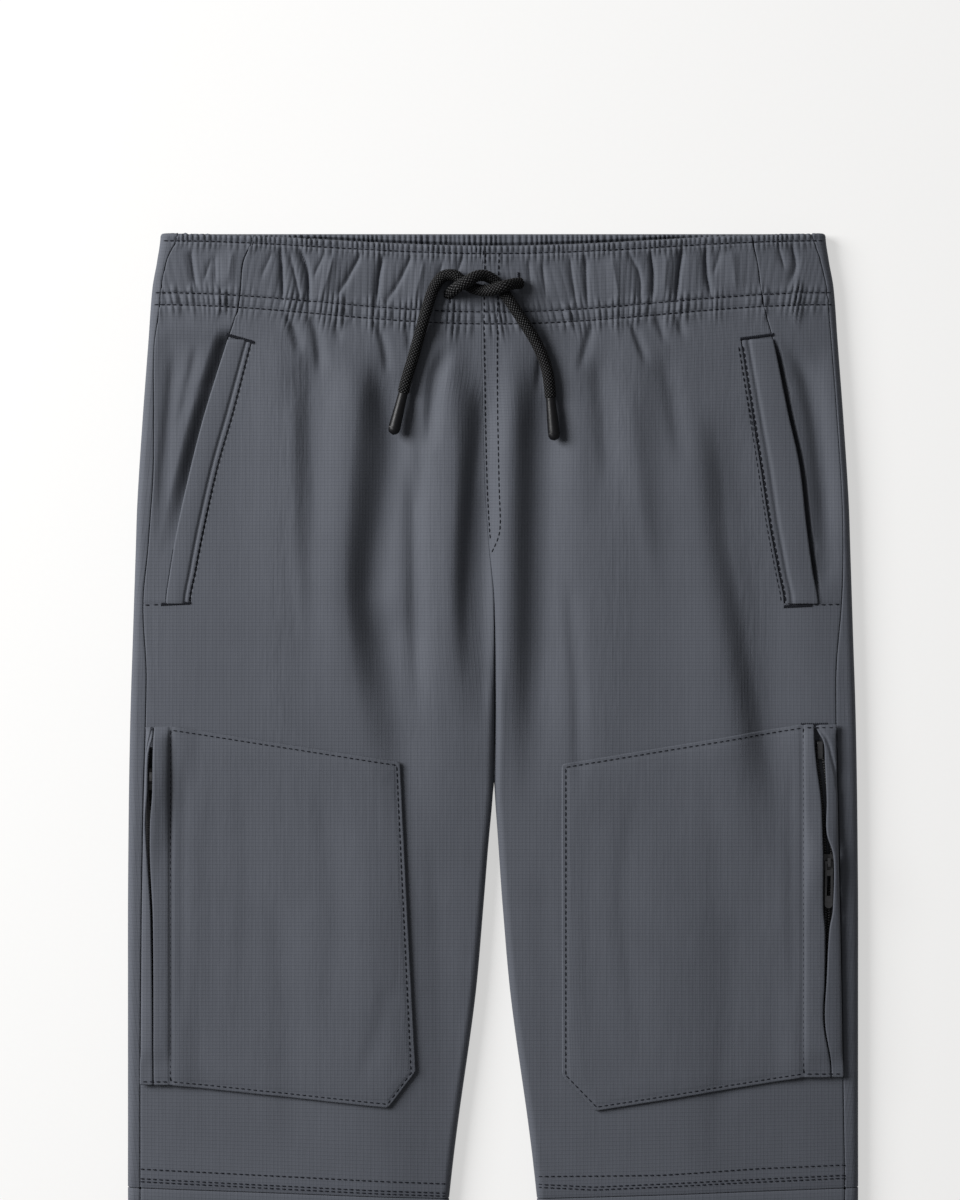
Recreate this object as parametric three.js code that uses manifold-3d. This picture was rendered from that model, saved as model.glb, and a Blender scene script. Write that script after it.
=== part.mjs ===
// Children's pull-on utility joggers, laid flat on their back on a table.
// Millimetres. +X is across the garment towards the wearer's left, +Y towards the waist, +Z up from the table.
// The origin is on the table, below the middle of the garment.
// Each leg and each half of the hips is a flattened tube of cloth. A row is a cut across that tube at one depth
// below the waist, and a panel is a run of rows from one seam to the next, given the thickness of its cloth.
import * as THREE from "three";
import Module from "manifold-3d";
import { mergeVertices } from "three/addons/utils/BufferGeometryUtils.js";

const { clamp, lerp, smoothstep, smootherstep, degToRad } = THREE.MathUtils;

const RIGHT = -1; // the wearer's right, on the -X side
const LEFT = 1;

// Driving dimensions of the garment
const LENGTH = 880; // waist edge to hem, for a child about 140 to 146 cm tall
const KNEE_DEPTH = 424; // depth of the seam above the knee, at the side
const KNEE_SLANT = 5; // the knee seam runs this much lower at the inner leg
const CUFF_HEIGHT = 42;
const CUFF_DEPTH = LENGTH - CUFF_HEIGHT;
const CLOTH = 1.2; // one layer of ripstop with its seam allowances
const CASING = 2.2; // cloth folded over elastic, at the waist and the cuffs
const SEAM_GAP = 0.3;
const LAY_GAP = 0.5; // between a panel and what lies on it

// The casing at the waist is part of each panel, folded over and sewn down in three rows
const TOP_STITCH = 3.3;
const CASING_STITCH = 26.4;
const CASING_END = 31.7;
const WAIST_DIP = 5.3; // the front edge hangs below the back edge at the centre
const CASING_DIP = 8.6; // and so do the lower rows of sewing, a little more
const DIP_SPAN = 150; // the dip dies out this far from the centre
const DIP_END = 110; // and at this depth

const BEND_WEIGHT = 12; // a bend of one radian gets as many points as this many millimetres

// How the cloth turns at an edge: a tight roll, then a broad soft shoulder
const ROLL = 3.4;
const ROLL_SHARE = 0.8;
const SHOULDER = 30;
const MID_SHARE = 0.46; // height of the folded edge, as a share of the whole

// Gathers: two columns of points make one
const GATHER_RISE = 0.75;
const FRONT_GATHERS = 38;
const FACING_GATHERS = 12;
const BACK_GATHERS = 30;
const BACK_GATHER_RISE = 0.55;
const CUFF_GATHERS = 15;

// The outline at each depth: the outer edge from the centre, half of the gap between the legs, the whole height,
// and how far the crease between the legs has opened, from 0 in one flat front to 1 in two separate legs.
const OUTLINE = [
  { depth: 0, outer: 148, gap: 0, height: 6.9, open: 0 },
  { depth: 12, outer: 149.5, gap: 0, height: 6.9, open: 0 },
  { depth: 24, outer: 151.6, gap: 0, height: 6.9, open: 0 },
  { depth: 48, outer: 153.4, gap: 0, height: 7.1, open: 0 },
  { depth: 83, outer: 156, gap: 0, height: 7.4, open: 0 },
  { depth: 119, outer: 158.3, gap: 0, height: 7.5, open: 0 },
  { depth: 140, outer: 159, gap: 0, height: 7.5, open: 0.02 },
  { depth: 180, outer: 160.3, gap: 0, height: 7.5, open: 0.3 },
  { depth: 210, outer: 161.3, gap: 0, height: 7.5, open: 0.7 },
  { depth: 245, outer: 162, gap: 0.2, height: 7.5, open: 1 },
  { depth: 272, outer: 162.3, gap: 2.2, height: 7.5, open: 1 },
  { depth: 300, outer: 162.5, gap: 4.3, height: 7.5, open: 1 },
  { depth: 340, outer: 162.5, gap: 7.9, height: 7.4, open: 1 },
  { depth: 398, outer: 162.5, gap: 15.9, height: 7.2, open: 1 },
  { depth: 429, outer: 162.5, gap: 19.5, height: 7, open: 1 },
  { depth: 520, outer: 161.5, gap: 28.5, height: 7, open: 1 },
  { depth: 640, outer: 158.5, gap: 38, height: 7, open: 1 },
  { depth: 760, outer: 155.2, gap: 44.5, height: 6.9, open: 1 },
  { depth: 822, outer: 153.4, gap: 46.6, height: 6.9, open: 1 },
  { depth: CUFF_DEPTH, outer: 150.6, gap: 49.8, height: 6.9, open: 1 },
  { depth: LENGTH, outer: 149.6, gap: 51.4, height: 6.9, open: 1 },
];

// The centre seam leans a little across the garment
const CENTRE = [
  { depth: 0, x: -4.4 },
  { depth: 39, x: -4.9 },
  { depth: 110, x: -3.6 },
  { depth: 139, x: -1.8 },
  { depth: 163, x: 0.4 },
  { depth: 207, x: 0.9 },
  { depth: 247, x: 0.4 },
  { depth: 300, x: 0 },
];

// The side seam lies on the front, this far in from the outer edge
const SIDE_SEAM = [
  { depth: 0, right: 8, left: 6 },
  { depth: 12, right: 4.6, left: 4 },
  { depth: 34, right: 4.2, left: 3.2 },
  { depth: 50, right: 3, left: 3 },
  { depth: 82, right: 5.3, left: 3 },
  { depth: 110, right: 6.8, left: 3 },
  { depth: 140, right: 5.8, left: 3.4 },
  { depth: 165, right: 4.4, left: 5 },
  { depth: 198, right: 7, left: 8.6 },
  { depth: 261, right: 6.7, left: 8.8 },
  { depth: 374, right: 5.8, left: 7 },
  { depth: 429, right: 5.8, left: 6.2 },
  { depth: 700, right: 5.8, left: 6 },
  { depth: LENGTH, right: 5, left: 5 },
];

// The hand pocket: its mouth, which runs on to the waist as a seam, and the stitch line of its welt
const HAND_POCKET = [
  { depth: 0, mouthRight: 106.6, weltRight: 96, mouthLeft: 115, weltLeft: 103 },
  { depth: 12, mouthRight: 111, weltRight: 99, mouthLeft: 117.4, weltLeft: 105 },
  { depth: 30, mouthRight: 112.8, weltRight: 103, mouthLeft: 120, weltLeft: 108 },
  { depth: 47, mouthRight: 118, weltRight: 107.2, mouthLeft: 124.4, weltLeft: 110.4 },
  { depth: 80, mouthRight: 128, weltRight: 115.4, mouthLeft: 131, weltLeft: 115.5 },
  { depth: 103, mouthRight: 133.9, weltRight: 121.9, mouthLeft: 136, weltLeft: 119.1 },
  { depth: 130, mouthRight: 139.9, weltRight: 128, mouthLeft: 139.1, weltLeft: 123.2 },
  { depth: 150, mouthRight: 143.3, weltRight: 131.9, mouthLeft: 141.8, weltLeft: 127 },
  { depth: 165, mouthRight: 145.1, weltRight: 134.5, mouthLeft: 144.2, weltLeft: 129.6 },
];
const WELT_TOP = 46;
const WELT_TOP_SLANT = 3.5; // the upper bar tack slopes down towards the centre
const WELT_END = 164.7;
const WELT_BOTTOM = WELT_END - 1.5 * SEAM_GAP;
const WELT_RISE = 0.6;
const FACING_SINK = 2.4; // the facing lies this far below the mouth of the pocket
const FACING_TUCK = 5; // and runs this far under the welt

// Large soft folds that fall from the gathers: the crest's place at its top, middle and bottom, its height,
// and how far it spreads on each side. The steep side faces the wearer's left.
const FOLDS = [
  { from: 40, to: 250, top: -54, middle: -66, bottom: -50, rise: 3.2, spreadRight: 15, spreadLeft: 8 },
  { from: 36, to: 236, top: -21, middle: -17, bottom: -15, rise: 2.8, spreadRight: 11, spreadLeft: 7 },
  { from: 36, to: 268, top: 9, middle: 10, bottom: 10, rise: 3.3, spreadRight: 9, spreadLeft: 8 },
  { from: 70, to: 315, top: 82, middle: 104, bottom: 133, rise: 2.4, spreadRight: 19, spreadLeft: 13 },
  { from: 36, to: 200, top: -97, middle: -95, bottom: -91, rise: 1.4, spreadRight: 13, spreadLeft: 9 },
  { from: 38, to: 160, top: 62, middle: 64, bottom: 67, rise: 1.4, spreadRight: 12, spreadLeft: 9 },
  { from: 40, to: 140, top: 36, middle: 37, bottom: 40, rise: 1.2, spreadRight: 9, spreadLeft: 8 },
  { from: 262, to: 520, top: -56, middle: -52, bottom: -60, rise: 1.3, spreadRight: 34, spreadLeft: 18 },
  { from: 262, to: 540, top: 70, middle: 84, bottom: 92, rise: 1.2, spreadRight: 34, spreadLeft: 22 },
  { from: 470, to: 700, top: -120, middle: -112, bottom: -106, rise: 1.6, spreadRight: 15, spreadLeft: 10 },
  { from: 500, to: 760, top: 118, middle: 106, bottom: 100, rise: 1.5, spreadRight: 16, spreadLeft: 10 },
  { from: 640, to: 838, top: -86, middle: -92, bottom: -90, rise: 1.4, spreadRight: 12, spreadLeft: 9 },
  { from: 700, to: 838, top: 126, middle: 120, bottom: 118, rise: 1.3, spreadRight: 11, spreadLeft: 9 },
];

// The cargo pocket on each thigh, from the side seam to its inner edge, with its lower inner corner cut off
const CARGO = {
  [RIGHT]: { topOuter: 217.1, topZip: 218.9, topInner: 234.9, innerTop: 41.3, innerBottom: 34.2,
    chamferTop: 371.6, chamferX: 46.6, bottomInner: 388, bottomZip: 378, zipLine: 143 },
  [LEFT]: { topOuter: 216.2, topZip: 218, topInner: 235.8, innerTop: 30.6, innerBottom: 30.6,
    chamferTop: 373.8, chamferX: 45.7, bottomInner: 389.4, bottomZip: 374.5, zipLine: 137.6 },
};
const CARGO_LAYER = 1.3;

// The slit between the two lips that cover each zip
const SLIT = {
  [RIGHT]: [
    { depth: 219, inner: 150.2, outer: 150.6 },
    { depth: 232, inner: 150.5, outer: 152.5 },
    { depth: 248, inner: 150.6, outer: 152.9 },
    { depth: 262, inner: 151.7, outer: 153.8 },
    { depth: 279, inner: 151.8, outer: 153 },
    { depth: 306, inner: 150.6, outer: 151.6 },
    { depth: 374, inner: 150.4, outer: 150.9 },
  ],
  [LEFT]: [
    { depth: 218, inner: 142.3, outer: 142.9 },
    { depth: 225, inner: 142.3, outer: 146.4 },
    { depth: 235, inner: 143.2, outer: 147.1 },
    { depth: 252, inner: 145.3, outer: 147.9 },
    { depth: 266, inner: 145.8, outer: 147.8 },
    { depth: 276, inner: 146, outer: 150.6 },
    { depth: 300, inner: 146.2, outer: 150.6 },
    { depth: 309, inner: 147, outer: 149.1 },
    { depth: 330, inner: 146.9, outer: 147.9 },
    { depth: 350, inner: 146.3, outer: 147.1 },
    { depth: 373, inner: 149.7, outer: 150.2 },
  ],
};
const LIP_LIFT = 3.4; // the lips stand this far above the leg at the slit
// and this much more over the slider and its tab, which the lips hide on the wearer's right
const LIP_BULGE = {
  [RIGHT]: { rise: 4, depth: 245, spread: 24 },
  [LEFT]: { rise: 2.4, depth: 279, spread: 15 },
};
const ZIP_LIFT = 1.3; // under side of the pocket's cloth where a zip tape runs below it

// The zips: half of a coil on each of two woven tapes, with a slider that carries a pull tab
const INNER = -1;
const OUTER = 1;
const ZIP_TOP = 228;
const ZIP_BOTTOM = 358;
const ZIP_LINE = {
  [RIGHT]: [
    { depth: 230, x: 151.3 },
    { depth: 252, x: 151.3 },
    { depth: 300, x: 151.2 },
    { depth: ZIP_BOTTOM, x: 150.6 },
  ],
  [LEFT]: [
    { depth: ZIP_TOP, x: 144.9 },
    { depth: 246, x: 146.8 },
    { depth: 268, x: 148.4 },
    { depth: 290, x: 148.4 },
    { depth: ZIP_BOTTOM, x: 147.2 },
  ],
};
const TAPE_LIFT = 0.3;
const TAPE_THICK = 0.4;
const COIL_HALF = 1.2;
const COIL_RISE = 0.75;
const SLIDER = { right: 241, left: 279, length: 7, width: 4.2, plate: 0.6, clear: 0.3 };
const POST = 0.9; // the slider's post stands between the tapes
const ARCH = { width: 1.2, half: 1.9, leg: 0.9, hole: 1.7, bar: 0.6 };
const PULL = { length: 20.5, width: 3.6, thick: 0.8, bar: 0.9, arm: 0.9, window: 3.4, slotTop: 6, slotBottom: 15, rest: 4 };

// The drawcord: 5 mm round braid, two ends tied once over the centre, each with a moulded tip
const CORD = 5;
const CORD_SIDES = 8;
const CORD_STEPS = 26;
const TIP = { length: 19, radius: 2.7, neck: 2.15 };
// Places along each end: across, depth, and how far its underside is lifted off the cloth
const CORD_RIGHT = [
  { x: 13, depth: 22.2, lift: 0.3 },
  { x: 9, depth: 23, lift: 2.9 },
  { x: 4, depth: 24.6, lift: 6 },
  { x: -1, depth: 25.8, lift: 4 },
  { x: -6.4, depth: 25.6, lift: 0.8 },
  { x: -12, depth: 22.9, lift: 0.3 },
  { x: -16.8, depth: 19.2, lift: 0.3 },
  { x: -22, depth: 19.4, lift: 0.3 },
  { x: -26, depth: 24.2, lift: 0.3 },
  { x: -28.4, depth: 31, lift: 0.3 },
  { x: -30.8, depth: 39, lift: 0.3 },
  { x: -35, depth: 54, lift: 0.3 },
  { x: -38.6, depth: 66, lift: 0.3 },
  { x: -40.6, depth: 74, lift: 0.3 },
];
const CORD_LEFT = [
  { x: -21.6, depth: 28.6, lift: 0.3 },
  { x: -17.6, depth: 25.8, lift: 3 },
  { x: -12.4, depth: 22.8, lift: 6 },
  { x: -7.2, depth: 19.8, lift: 4.4 },
  { x: -1.8, depth: 19.8, lift: 1.2 },
  { x: 2.8, depth: 23.8, lift: 0.3 },
  { x: 6.4, depth: 29, lift: 0.3 },
  { x: 13.4, depth: 39.6, lift: 0.3 },
  { x: 19.4, depth: 49.4, lift: 0.3 },
  { x: 23.8, depth: 60.6, lift: 0.3 },
  { x: 25.8, depth: 76, lift: 0.3 },
];

// Rows that neighbouring panels share, so that their seams follow the same points
const CASING_ROWS = [0, TOP_STITCH, 14, CASING_STITCH, CASING_END, 38];
const HIP_ROWS = [WELT_TOP, WELT_TOP + WELT_TOP_SLANT, 64, 80, 100, 120, 142, WELT_END - SEAM_GAP / 2];
const THIGH_ROWS = [WELT_END + SEAM_GAP / 2, 185, 207, 230, 255, 285, 320, 355, 390, KNEE_DEPTH - SEAM_GAP / 2];
const LIP_ROWS = [0.045, 0.1, 0.16, 0.24, 0.31, 0.37, 0.43, 0.49, 0.53, 0.6, 0.72, 0.86, 1];
const SHIN_ROWS = [KNEE_DEPTH + SEAM_GAP / 2, 456, 500, 555, 620, 690, 760, 816, CUFF_DEPTH - SEAM_GAP / 2];
const CUFF_ROWS = [CUFF_DEPTH + SEAM_GAP / 2, CUFF_DEPTH + 7, LENGTH - 7, LENGTH];

const MATERIALS = {
  cloth: new THREE.MeshStandardMaterial({ color: 0x565a63, roughness: 0.85, metalness: 0 }),
  cord: new THREE.MeshStandardMaterial({ color: 0x151516, roughness: 0.8, metalness: 0 }),
  tip: new THREE.MeshStandardMaterial({ color: 0x1c1c1e, roughness: 0.4, metalness: 0 }),
  zip: new THREE.MeshStandardMaterial({ color: 0x101012, roughness: 0.6, metalness: 0 }),
  slider: new THREE.MeshStandardMaterial({ color: 0x3a3a3d, roughness: 0.35, metalness: 0.7 }),
};

// One column of a table at a depth, on a smooth curve through its rows
function read(table, column, depth) {
  const last = table.length - 1;
  if (depth <= table[0].depth) return table[0][column];
  if (depth >= table[last].depth) return table[last][column];
  const i = table.findIndex((row) => row.depth > depth) - 1;
  const slope = (k) => {
    if (k <= 0 || k >= last) return 0;
    return (table[k + 1][column] - table[k - 1][column]) / (table[k + 1].depth - table[k - 1].depth);
  };
  const span = table[i + 1].depth - table[i].depth;
  const t = (depth - table[i].depth) / span;
  const rise = table[i + 1][column] - table[i][column];
  const bend = lerp(slope(i) * span - rise, rise - slope(i + 1) * span, t);
  return table[i][column] + rise * t + bend * t * (1 - t);
}

const sideName = (side) => (side === RIGHT ? "right" : "left");
const columnFor = (name, side) => name + (side === RIGHT ? "Right" : "Left");
const outerEdge = (side, depth) => side * read(OUTLINE, "outer", depth);
const innerEdge = (side, depth) =>
  read(CENTRE, "x", depth) + side * Math.max(SEAM_GAP / 2, read(OUTLINE, "gap", depth));
const sideSeam = (side, depth) => outerEdge(side, depth) - side * read(SIDE_SEAM, sideName(side), depth);
const pocketMouth = (side, depth) => side * read(HAND_POCKET, columnFor("mouth", side), depth);
const weltLine = (side, depth) => side * read(HAND_POCKET, columnFor("welt", side), depth);

// A row dips at the centre of the waist, and slants at the knee
function waistDip(x, row) {
  if (Math.abs(x) > DIP_SPAN) return 0;
  const depth = lerp(WAIST_DIP, CASING_DIP, clamp(row / CASING_STITCH, 0, 1));
  const fade = 1 - smoothstep(row, CASING_END, DIP_END);
  return depth * fade * Math.cos((Math.PI * x) / (2 * DIP_SPAN)) ** 2;
}

function kneeSlant(x, row) {
  const near = smoothstep(row, KNEE_DEPTH - 60, KNEE_DEPTH - 10) * (1 - smoothstep(row, KNEE_DEPTH + 20, KNEE_DEPTH + 100));
  return KNEE_SLANT * near * (1 - clamp((Math.abs(x) - 20) / 142, 0, 1));
}

// The sum of the large folds at a place
function foldHeight(x, depth) {
  let height = 0;
  for (const fold of FOLDS) {
    const t = (depth - fold.from) / (fold.to - fold.from);
    if (t <= 0 || t >= 1) continue;
    const crest = lerp(lerp(fold.top, fold.bottom, t), fold.middle, 4 * t * (1 - t));
    const spread = x < crest ? fold.spreadRight : fold.spreadLeft;
    const along = smoothstep(t, 0, 0.18) * (1 - smoothstep(t, 0.55, 1));
    height += fold.rise * along * Math.exp(-(((x - crest) / spread) ** 2));
  }
  return height;
}

// 0 at a folded edge and 1 well inside it: a quarter of an ellipse for the roll, and a sine for the shoulder
function rollUp(distance) {
  const q = clamp(distance / ROLL, 0, 1);
  return Math.sqrt(1 - (1 - q) ** 2);
}
function pillow(distance) {
  const q = clamp(distance / SHOULDER, 0, 1);
  return ROLL_SHARE * rollUp(distance) + (1 - ROLL_SHARE) * Math.sin((q * Math.PI) / 2);
}

// How much of its height the cloth has at a place. The crease between the legs deepens as they part.
function fullness(side, x, depth, profile) {
  const fromOuter = Math.max(0, side * (outerEdge(side, depth) - x));
  const fromInner = Math.max(0, side * (x - innerEdge(side, depth)));
  const open = clamp(read(OUTLINE, "open", depth), 0, 1);
  return profile(fromOuter) * (1 - open * (1 - profile(fromInner)));
}

// Height of the upper and of the under side of the flattened tube
function clothTop(side, x, depth) {
  const height = read(OUTLINE, "height", depth);
  const mid = MID_SHARE * height;
  return mid + (height - mid + foldHeight(x, depth)) * fullness(side, x, depth, pillow);
}
function clothUnder(side, x, depth) {
  return MID_SHARE * read(OUTLINE, "height", depth) * (1 - fullness(side, x, depth, rollUp));
}

// A fine line of places across one row, from one x to another, closer together at its ends
const FINE = 72;
function lineAcross(row, from, to, shift, height) {
  const line = [];
  for (let i = 0; i <= FINE; i++) {
    const x = lerp(from, to, smootherstep(i / FINE, 0, 1));
    const depth = row + shift(x, row);
    line.push({ x, depth, z: height(x, depth) });
  }
  return line;
}

const frontShift = (x, row) => waistDip(x, row) + kneeSlant(x, row);
const frontInner = (side, row) => innerEdge(side, row + frontShift(innerEdge(side, row), row));
const backInner = (side, row) => innerEdge(side, row + kneeSlant(innerEdge(side, row), row));

// The line moved along its own normal, in the plane of the row. Positive is out of the tube.
function movedOut(line, side, distance) {
  return line.map((place, i) => {
    const before = line[Math.max(0, i - 1)];
    const after = line[Math.min(line.length - 1, i + 1)];
    const dx = after.x - before.x;
    const dz = after.z - before.z;
    const far = (side * distance(i)) / Math.hypot(dx, dz);
    return { x: place.x - far * dz, depth: place.depth, z: place.z + far * dx };
  });
}

// Points along a line, with half a seam gap left at each end. They come closer together where it bends.
function spaced(line, columns, bendWeight = BEND_WEIGHT) {
  const heading = (i) => Math.atan2(line[i + 1].z - line[i].z, line[i + 1].x - line[i].x);
  const along = [0];
  const share = [0];
  for (let i = 1; i < line.length; i++) {
    const step = Math.hypot(line[i].x - line[i - 1].x, line[i].z - line[i - 1].z);
    const turn = i < line.length - 1 ? Math.abs(Math.sin(heading(i) - heading(i - 1))) : 0;
    along.push(along[i - 1] + step);
    share.push(share[i - 1] + step + bendWeight * turn);
  }
  const pointAt = (measure, value) => {
    const k = clamp(measure.findIndex((m) => m >= value), 1, line.length - 1);
    const t = (value - measure[k - 1]) / (measure[k] - measure[k - 1]);
    const [a, b] = [line[k - 1], line[k]];
    return { x: lerp(a.x, b.x, t), depth: lerp(a.depth, b.depth, t), z: lerp(a.z, b.z, t) };
  };
  const points = [pointAt(along, SEAM_GAP / 2)];
  for (let j = 1; j < columns; j++) points.push(pointAt(share, (share.at(-1) * j) / columns));
  points.push(pointAt(along, along.at(-1) - SEAM_GAP / 2));
  return points;
}

// A closed wall between an outer and an inner skin, each a list of rows. Rows with about as many points join
// one to one from their start, and rows with far more points join by their share of the way.
function wallBetween(outer, inner) {
  const positions = [];
  const index = [];
  const numbered = (skin) =>
    skin.map((row) => row.map((p) => positions.push(p.x, LENGTH / 2 - p.depth, p.z) / 3 - 1));
  const bridge = (a, b, flip) => {
    const [lastA, lastB] = [a.length - 1, b.length - 1];
    const byShare = Math.max(lastA, lastB) > 1.6 * Math.min(lastA, lastB);
    let i = 0;
    let j = 0;
    while (i < lastA || j < lastB) {
      const aFirst = byShare ? (i + 1) * lastB <= (j + 1) * lastA : i <= j;
      const onA = j === lastB || (i < lastA && aFirst);
      const triangle = onA ? [a[i], a[++i], b[j]] : [a[i], b[j + 1], b[j++]];
      index.push(...(flip ? triangle.reverse() : triangle));
    }
  };
  const outside = numbered(outer);
  const inside = numbered(inner);
  for (let i = 0; i < outside.length - 1; i++) bridge(outside[i], outside[i + 1], false);
  for (let i = 0; i < inside.length - 1; i++) bridge(inside[i], inside[i + 1], true);
  const edge = (skin, end) => skin.map((row) => row.at(end));
  bridge(outside[0], inside[0], true);
  bridge(outside.at(-1), inside.at(-1), false);
  bridge(edge(outside, 0), edge(inside, 0), false);
  bridge(edge(outside, -1), edge(inside, -1), true);
  return closedGeometry(positions, index);
}

// An indexed geometry whose faces point out, whichever way its rows ran
function closedGeometry(positions, index) {
  const at = (i) => new THREE.Vector3().fromArray(positions, 3 * i);
  let volume = 0;
  for (let i = 0; i < index.length; i += 3) {
    volume += at(index[i]).dot(at(index[i + 1]).cross(at(index[i + 2])));
  }
  if (volume < 0) index.reverse();
  const geometry = new THREE.BufferGeometry();
  geometry.setAttribute("position", new THREE.Float32BufferAttribute(positions, 3));
  geometry.setIndex(index);
  geometry.computeVertexNormals();
  return geometry;
}

// A panel of cloth. trace gives the fine line of its outer face at each row, and relief raises single points.
function panel({ side, rows, trace, wall, points, innerPoints = points, relief, innerRelief }) {
  const raised = (line, amount, way, row) =>
    amount ? movedOut(line, side, (i) => way * amount(row, i, line.length - 1)) : line;
  const outer = rows.map((row) => raised(points(trace(row), row), relief, 1, row));
  const inner = rows.map((row) => {
    const line = movedOut(trace(row), side, () => -wall(row));
    return raised(innerPoints(line, row), innerRelief, -1, row);
  });
  return { outer, inner };
}

// Every second point of a gathered row is raised, some more than others, with slower folds in the cord's channel
function gathers(row, k, columns) {
  const fine = k % 2 ? GATHER_RISE * (0.75 + 0.25 * Math.sin(k * 1.7)) : 0;
  const inChannel = smoothstep(row, TOP_STITCH, 9) * (1 - smoothstep(row, 20, CASING_STITCH));
  const slow = 0.5 * (1 + Math.sin(k * 0.9 + 2 * Math.sin(k * 0.23)));
  const fade = 1 - smoothstep(row, CASING_END, WELT_TOP);
  return fade * smoothstep(Math.min(k, columns - k), 0, 2) * lerp(fine, 0.35 * fine + slow, inChannel);
}
const casingWall = (row) => lerp(CASING, CLOTH, smoothstep(row, CASING_END, WELT_TOP));
const clothWall = () => CLOTH;
const gatheredPoints = (gathered, plain) => (line, row) =>
  row < WELT_TOP ? spaced(line, gathered, 0) : spaced(line, plain);

// The front panel ends at the pocket seam, then at the welt, and below the pocket at the side seam
function frontBoundary(side, row) {
  if (row <= WELT_TOP) return pocketMouth(side, row);
  return row < WELT_END ? weltLine(side, row) : sideSeam(side, row);
}
// Below the pocket, extra points cover the width that the pocket took
function frontPoints(side, gathered, plain, extra) {
  return (line, row) => {
    if (row < WELT_END) return gatheredPoints(gathered, plain)(line, row);
    const split = line.findIndex((p) => Math.abs(p.x) > Math.abs(weltLine(side, WELT_END)));
    const near = spaced(line.slice(0, split + 1), plain);
    const far = spaced(line.slice(split), extra);
    return [...near.slice(0, -1), ...far];
  };
}
function frontPanel(side) {
  return panel({
    side,
    rows: [...CASING_ROWS, ...HIP_ROWS, ...THIGH_ROWS],
    trace: (row) =>
      lineAcross(row, frontInner(side, row), frontBoundary(side, row), frontShift, (x, d) => clothTop(side, x, d)),
    wall: casingWall,
    points: frontPoints(side, 2 * FRONT_GATHERS, 13, 4),
    innerPoints: frontPoints(side, 11, 11, 3),
    relief: (row, k, columns) => (row < WELT_TOP ? gathers(row, k, columns) : 0),
  });
}

// The facing of the hand pocket shows between its mouth and the side seam. It sinks below the mouth.
const facingSink = (row) => smoothstep(row, 48, 62) * (1 - smoothstep(row, 150, 162));
const facingTuck = (row) => FACING_TUCK * smoothstep(row, 65, 75) * (1 - smoothstep(row, 134, 141));
function facingPanel(side) {
  const height = (x, depth) => {
    const fromSeam = side * (sideSeam(side, depth) - x);
    return clothTop(side, x, depth) - FACING_SINK * facingSink(depth) * smoothstep(fromSeam, 0, 8);
  };
  return panel({
    side,
    rows: [...CASING_ROWS, ...HIP_ROWS.slice(0, -1), WELT_BOTTOM],
    trace: (row) =>
      lineAcross(row, pocketMouth(side, row) - side * facingTuck(row), sideSeam(side, row), waistDip, height),
    wall: casingWall,
    points: gatheredPoints(2 * FACING_GATHERS, 6),
    innerPoints: gatheredPoints(5, 5),
    relief: (row, k, columns) => (row < WELT_TOP ? gathers(row, k, columns) : 0),
  });
}

// The welt is the band along the mouth of the hand pocket
function weltPanel(side) {
  const isFirst = (row) => row < WELT_TOP + 1;
  const inner = (row) => weltLine(side, isFirst(row) ? row + WELT_TOP_SLANT : row);
  const slant = (x, row) => {
    const share = (x - pocketMouth(side, row)) / (inner(row) - pocketMouth(side, row));
    return waistDip(x, row) + (isFirst(row) ? WELT_TOP_SLANT * clamp(share, 0, 1) : 0);
  };
  const height = (x, depth) => {
    const share = (x - weltLine(side, depth)) / (pocketMouth(side, depth) - weltLine(side, depth));
    return clothTop(side, x, depth) + WELT_RISE * clamp(share, 0, 1);
  };
  return panel({
    side,
    rows: [WELT_TOP + SEAM_GAP, ...HIP_ROWS.slice(2, -1), WELT_BOTTOM],
    trace: (row) => lineAcross(row, inner(row), pocketMouth(side, row), slant, height),
    wall: clothWall,
    points: (line) => spaced(line, 3),
  });
}

// The back panel starts at the side seam, turns round the outer edge and lies flat on the table
function backTrace(side, row) {
  const top = (x, depth) => clothTop(side, x, depth);
  const under = (x, depth) => clothUnder(side, x, depth);
  const edge = outerEdge(side, row);
  const turned = lineAcross(row, sideSeam(side, row), edge, kneeSlant, top);
  return [...turned.slice(0, -1), ...lineAcross(row, edge, backInner(side, row), kneeSlant, under)];
}
function backPanel(side) {
  const atEdge = (row) => row < TOP_STITCH + 1;
  return panel({
    side,
    rows: [...CASING_ROWS, ...HIP_ROWS, ...THIGH_ROWS],
    trace: (row) => backTrace(side, row),
    wall: casingWall,
    points: (line) => spaced(line, 15),
    innerPoints: (line, row) => (atEdge(row) ? spaced(line, 2 * BACK_GATHERS, 0) : spaced(line, 11)),
    innerRelief: (row, k, columns) => (atEdge(row) && k % 2 ? BACK_GATHER_RISE * smoothstep(k / columns, 0.12, 0.2) : 0),
  });
}

// Below the knee seam each leg is a front and a back panel
function lowerFront(side) {
  return panel({
    side,
    rows: SHIN_ROWS,
    trace: (row) =>
      lineAcross(row, frontInner(side, row), sideSeam(side, row), kneeSlant, (x, d) => clothTop(side, x, d)),
    wall: clothWall,
    points: (line) => spaced(line, 11),
  });
}
function lowerBack(side) {
  return panel({
    side,
    rows: SHIN_ROWS,
    trace: (row) => backTrace(side, row),
    wall: clothWall,
    points: (line) => spaced(line, 13),
    innerPoints: (line) => spaced(line, 11),
  });
}

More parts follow.
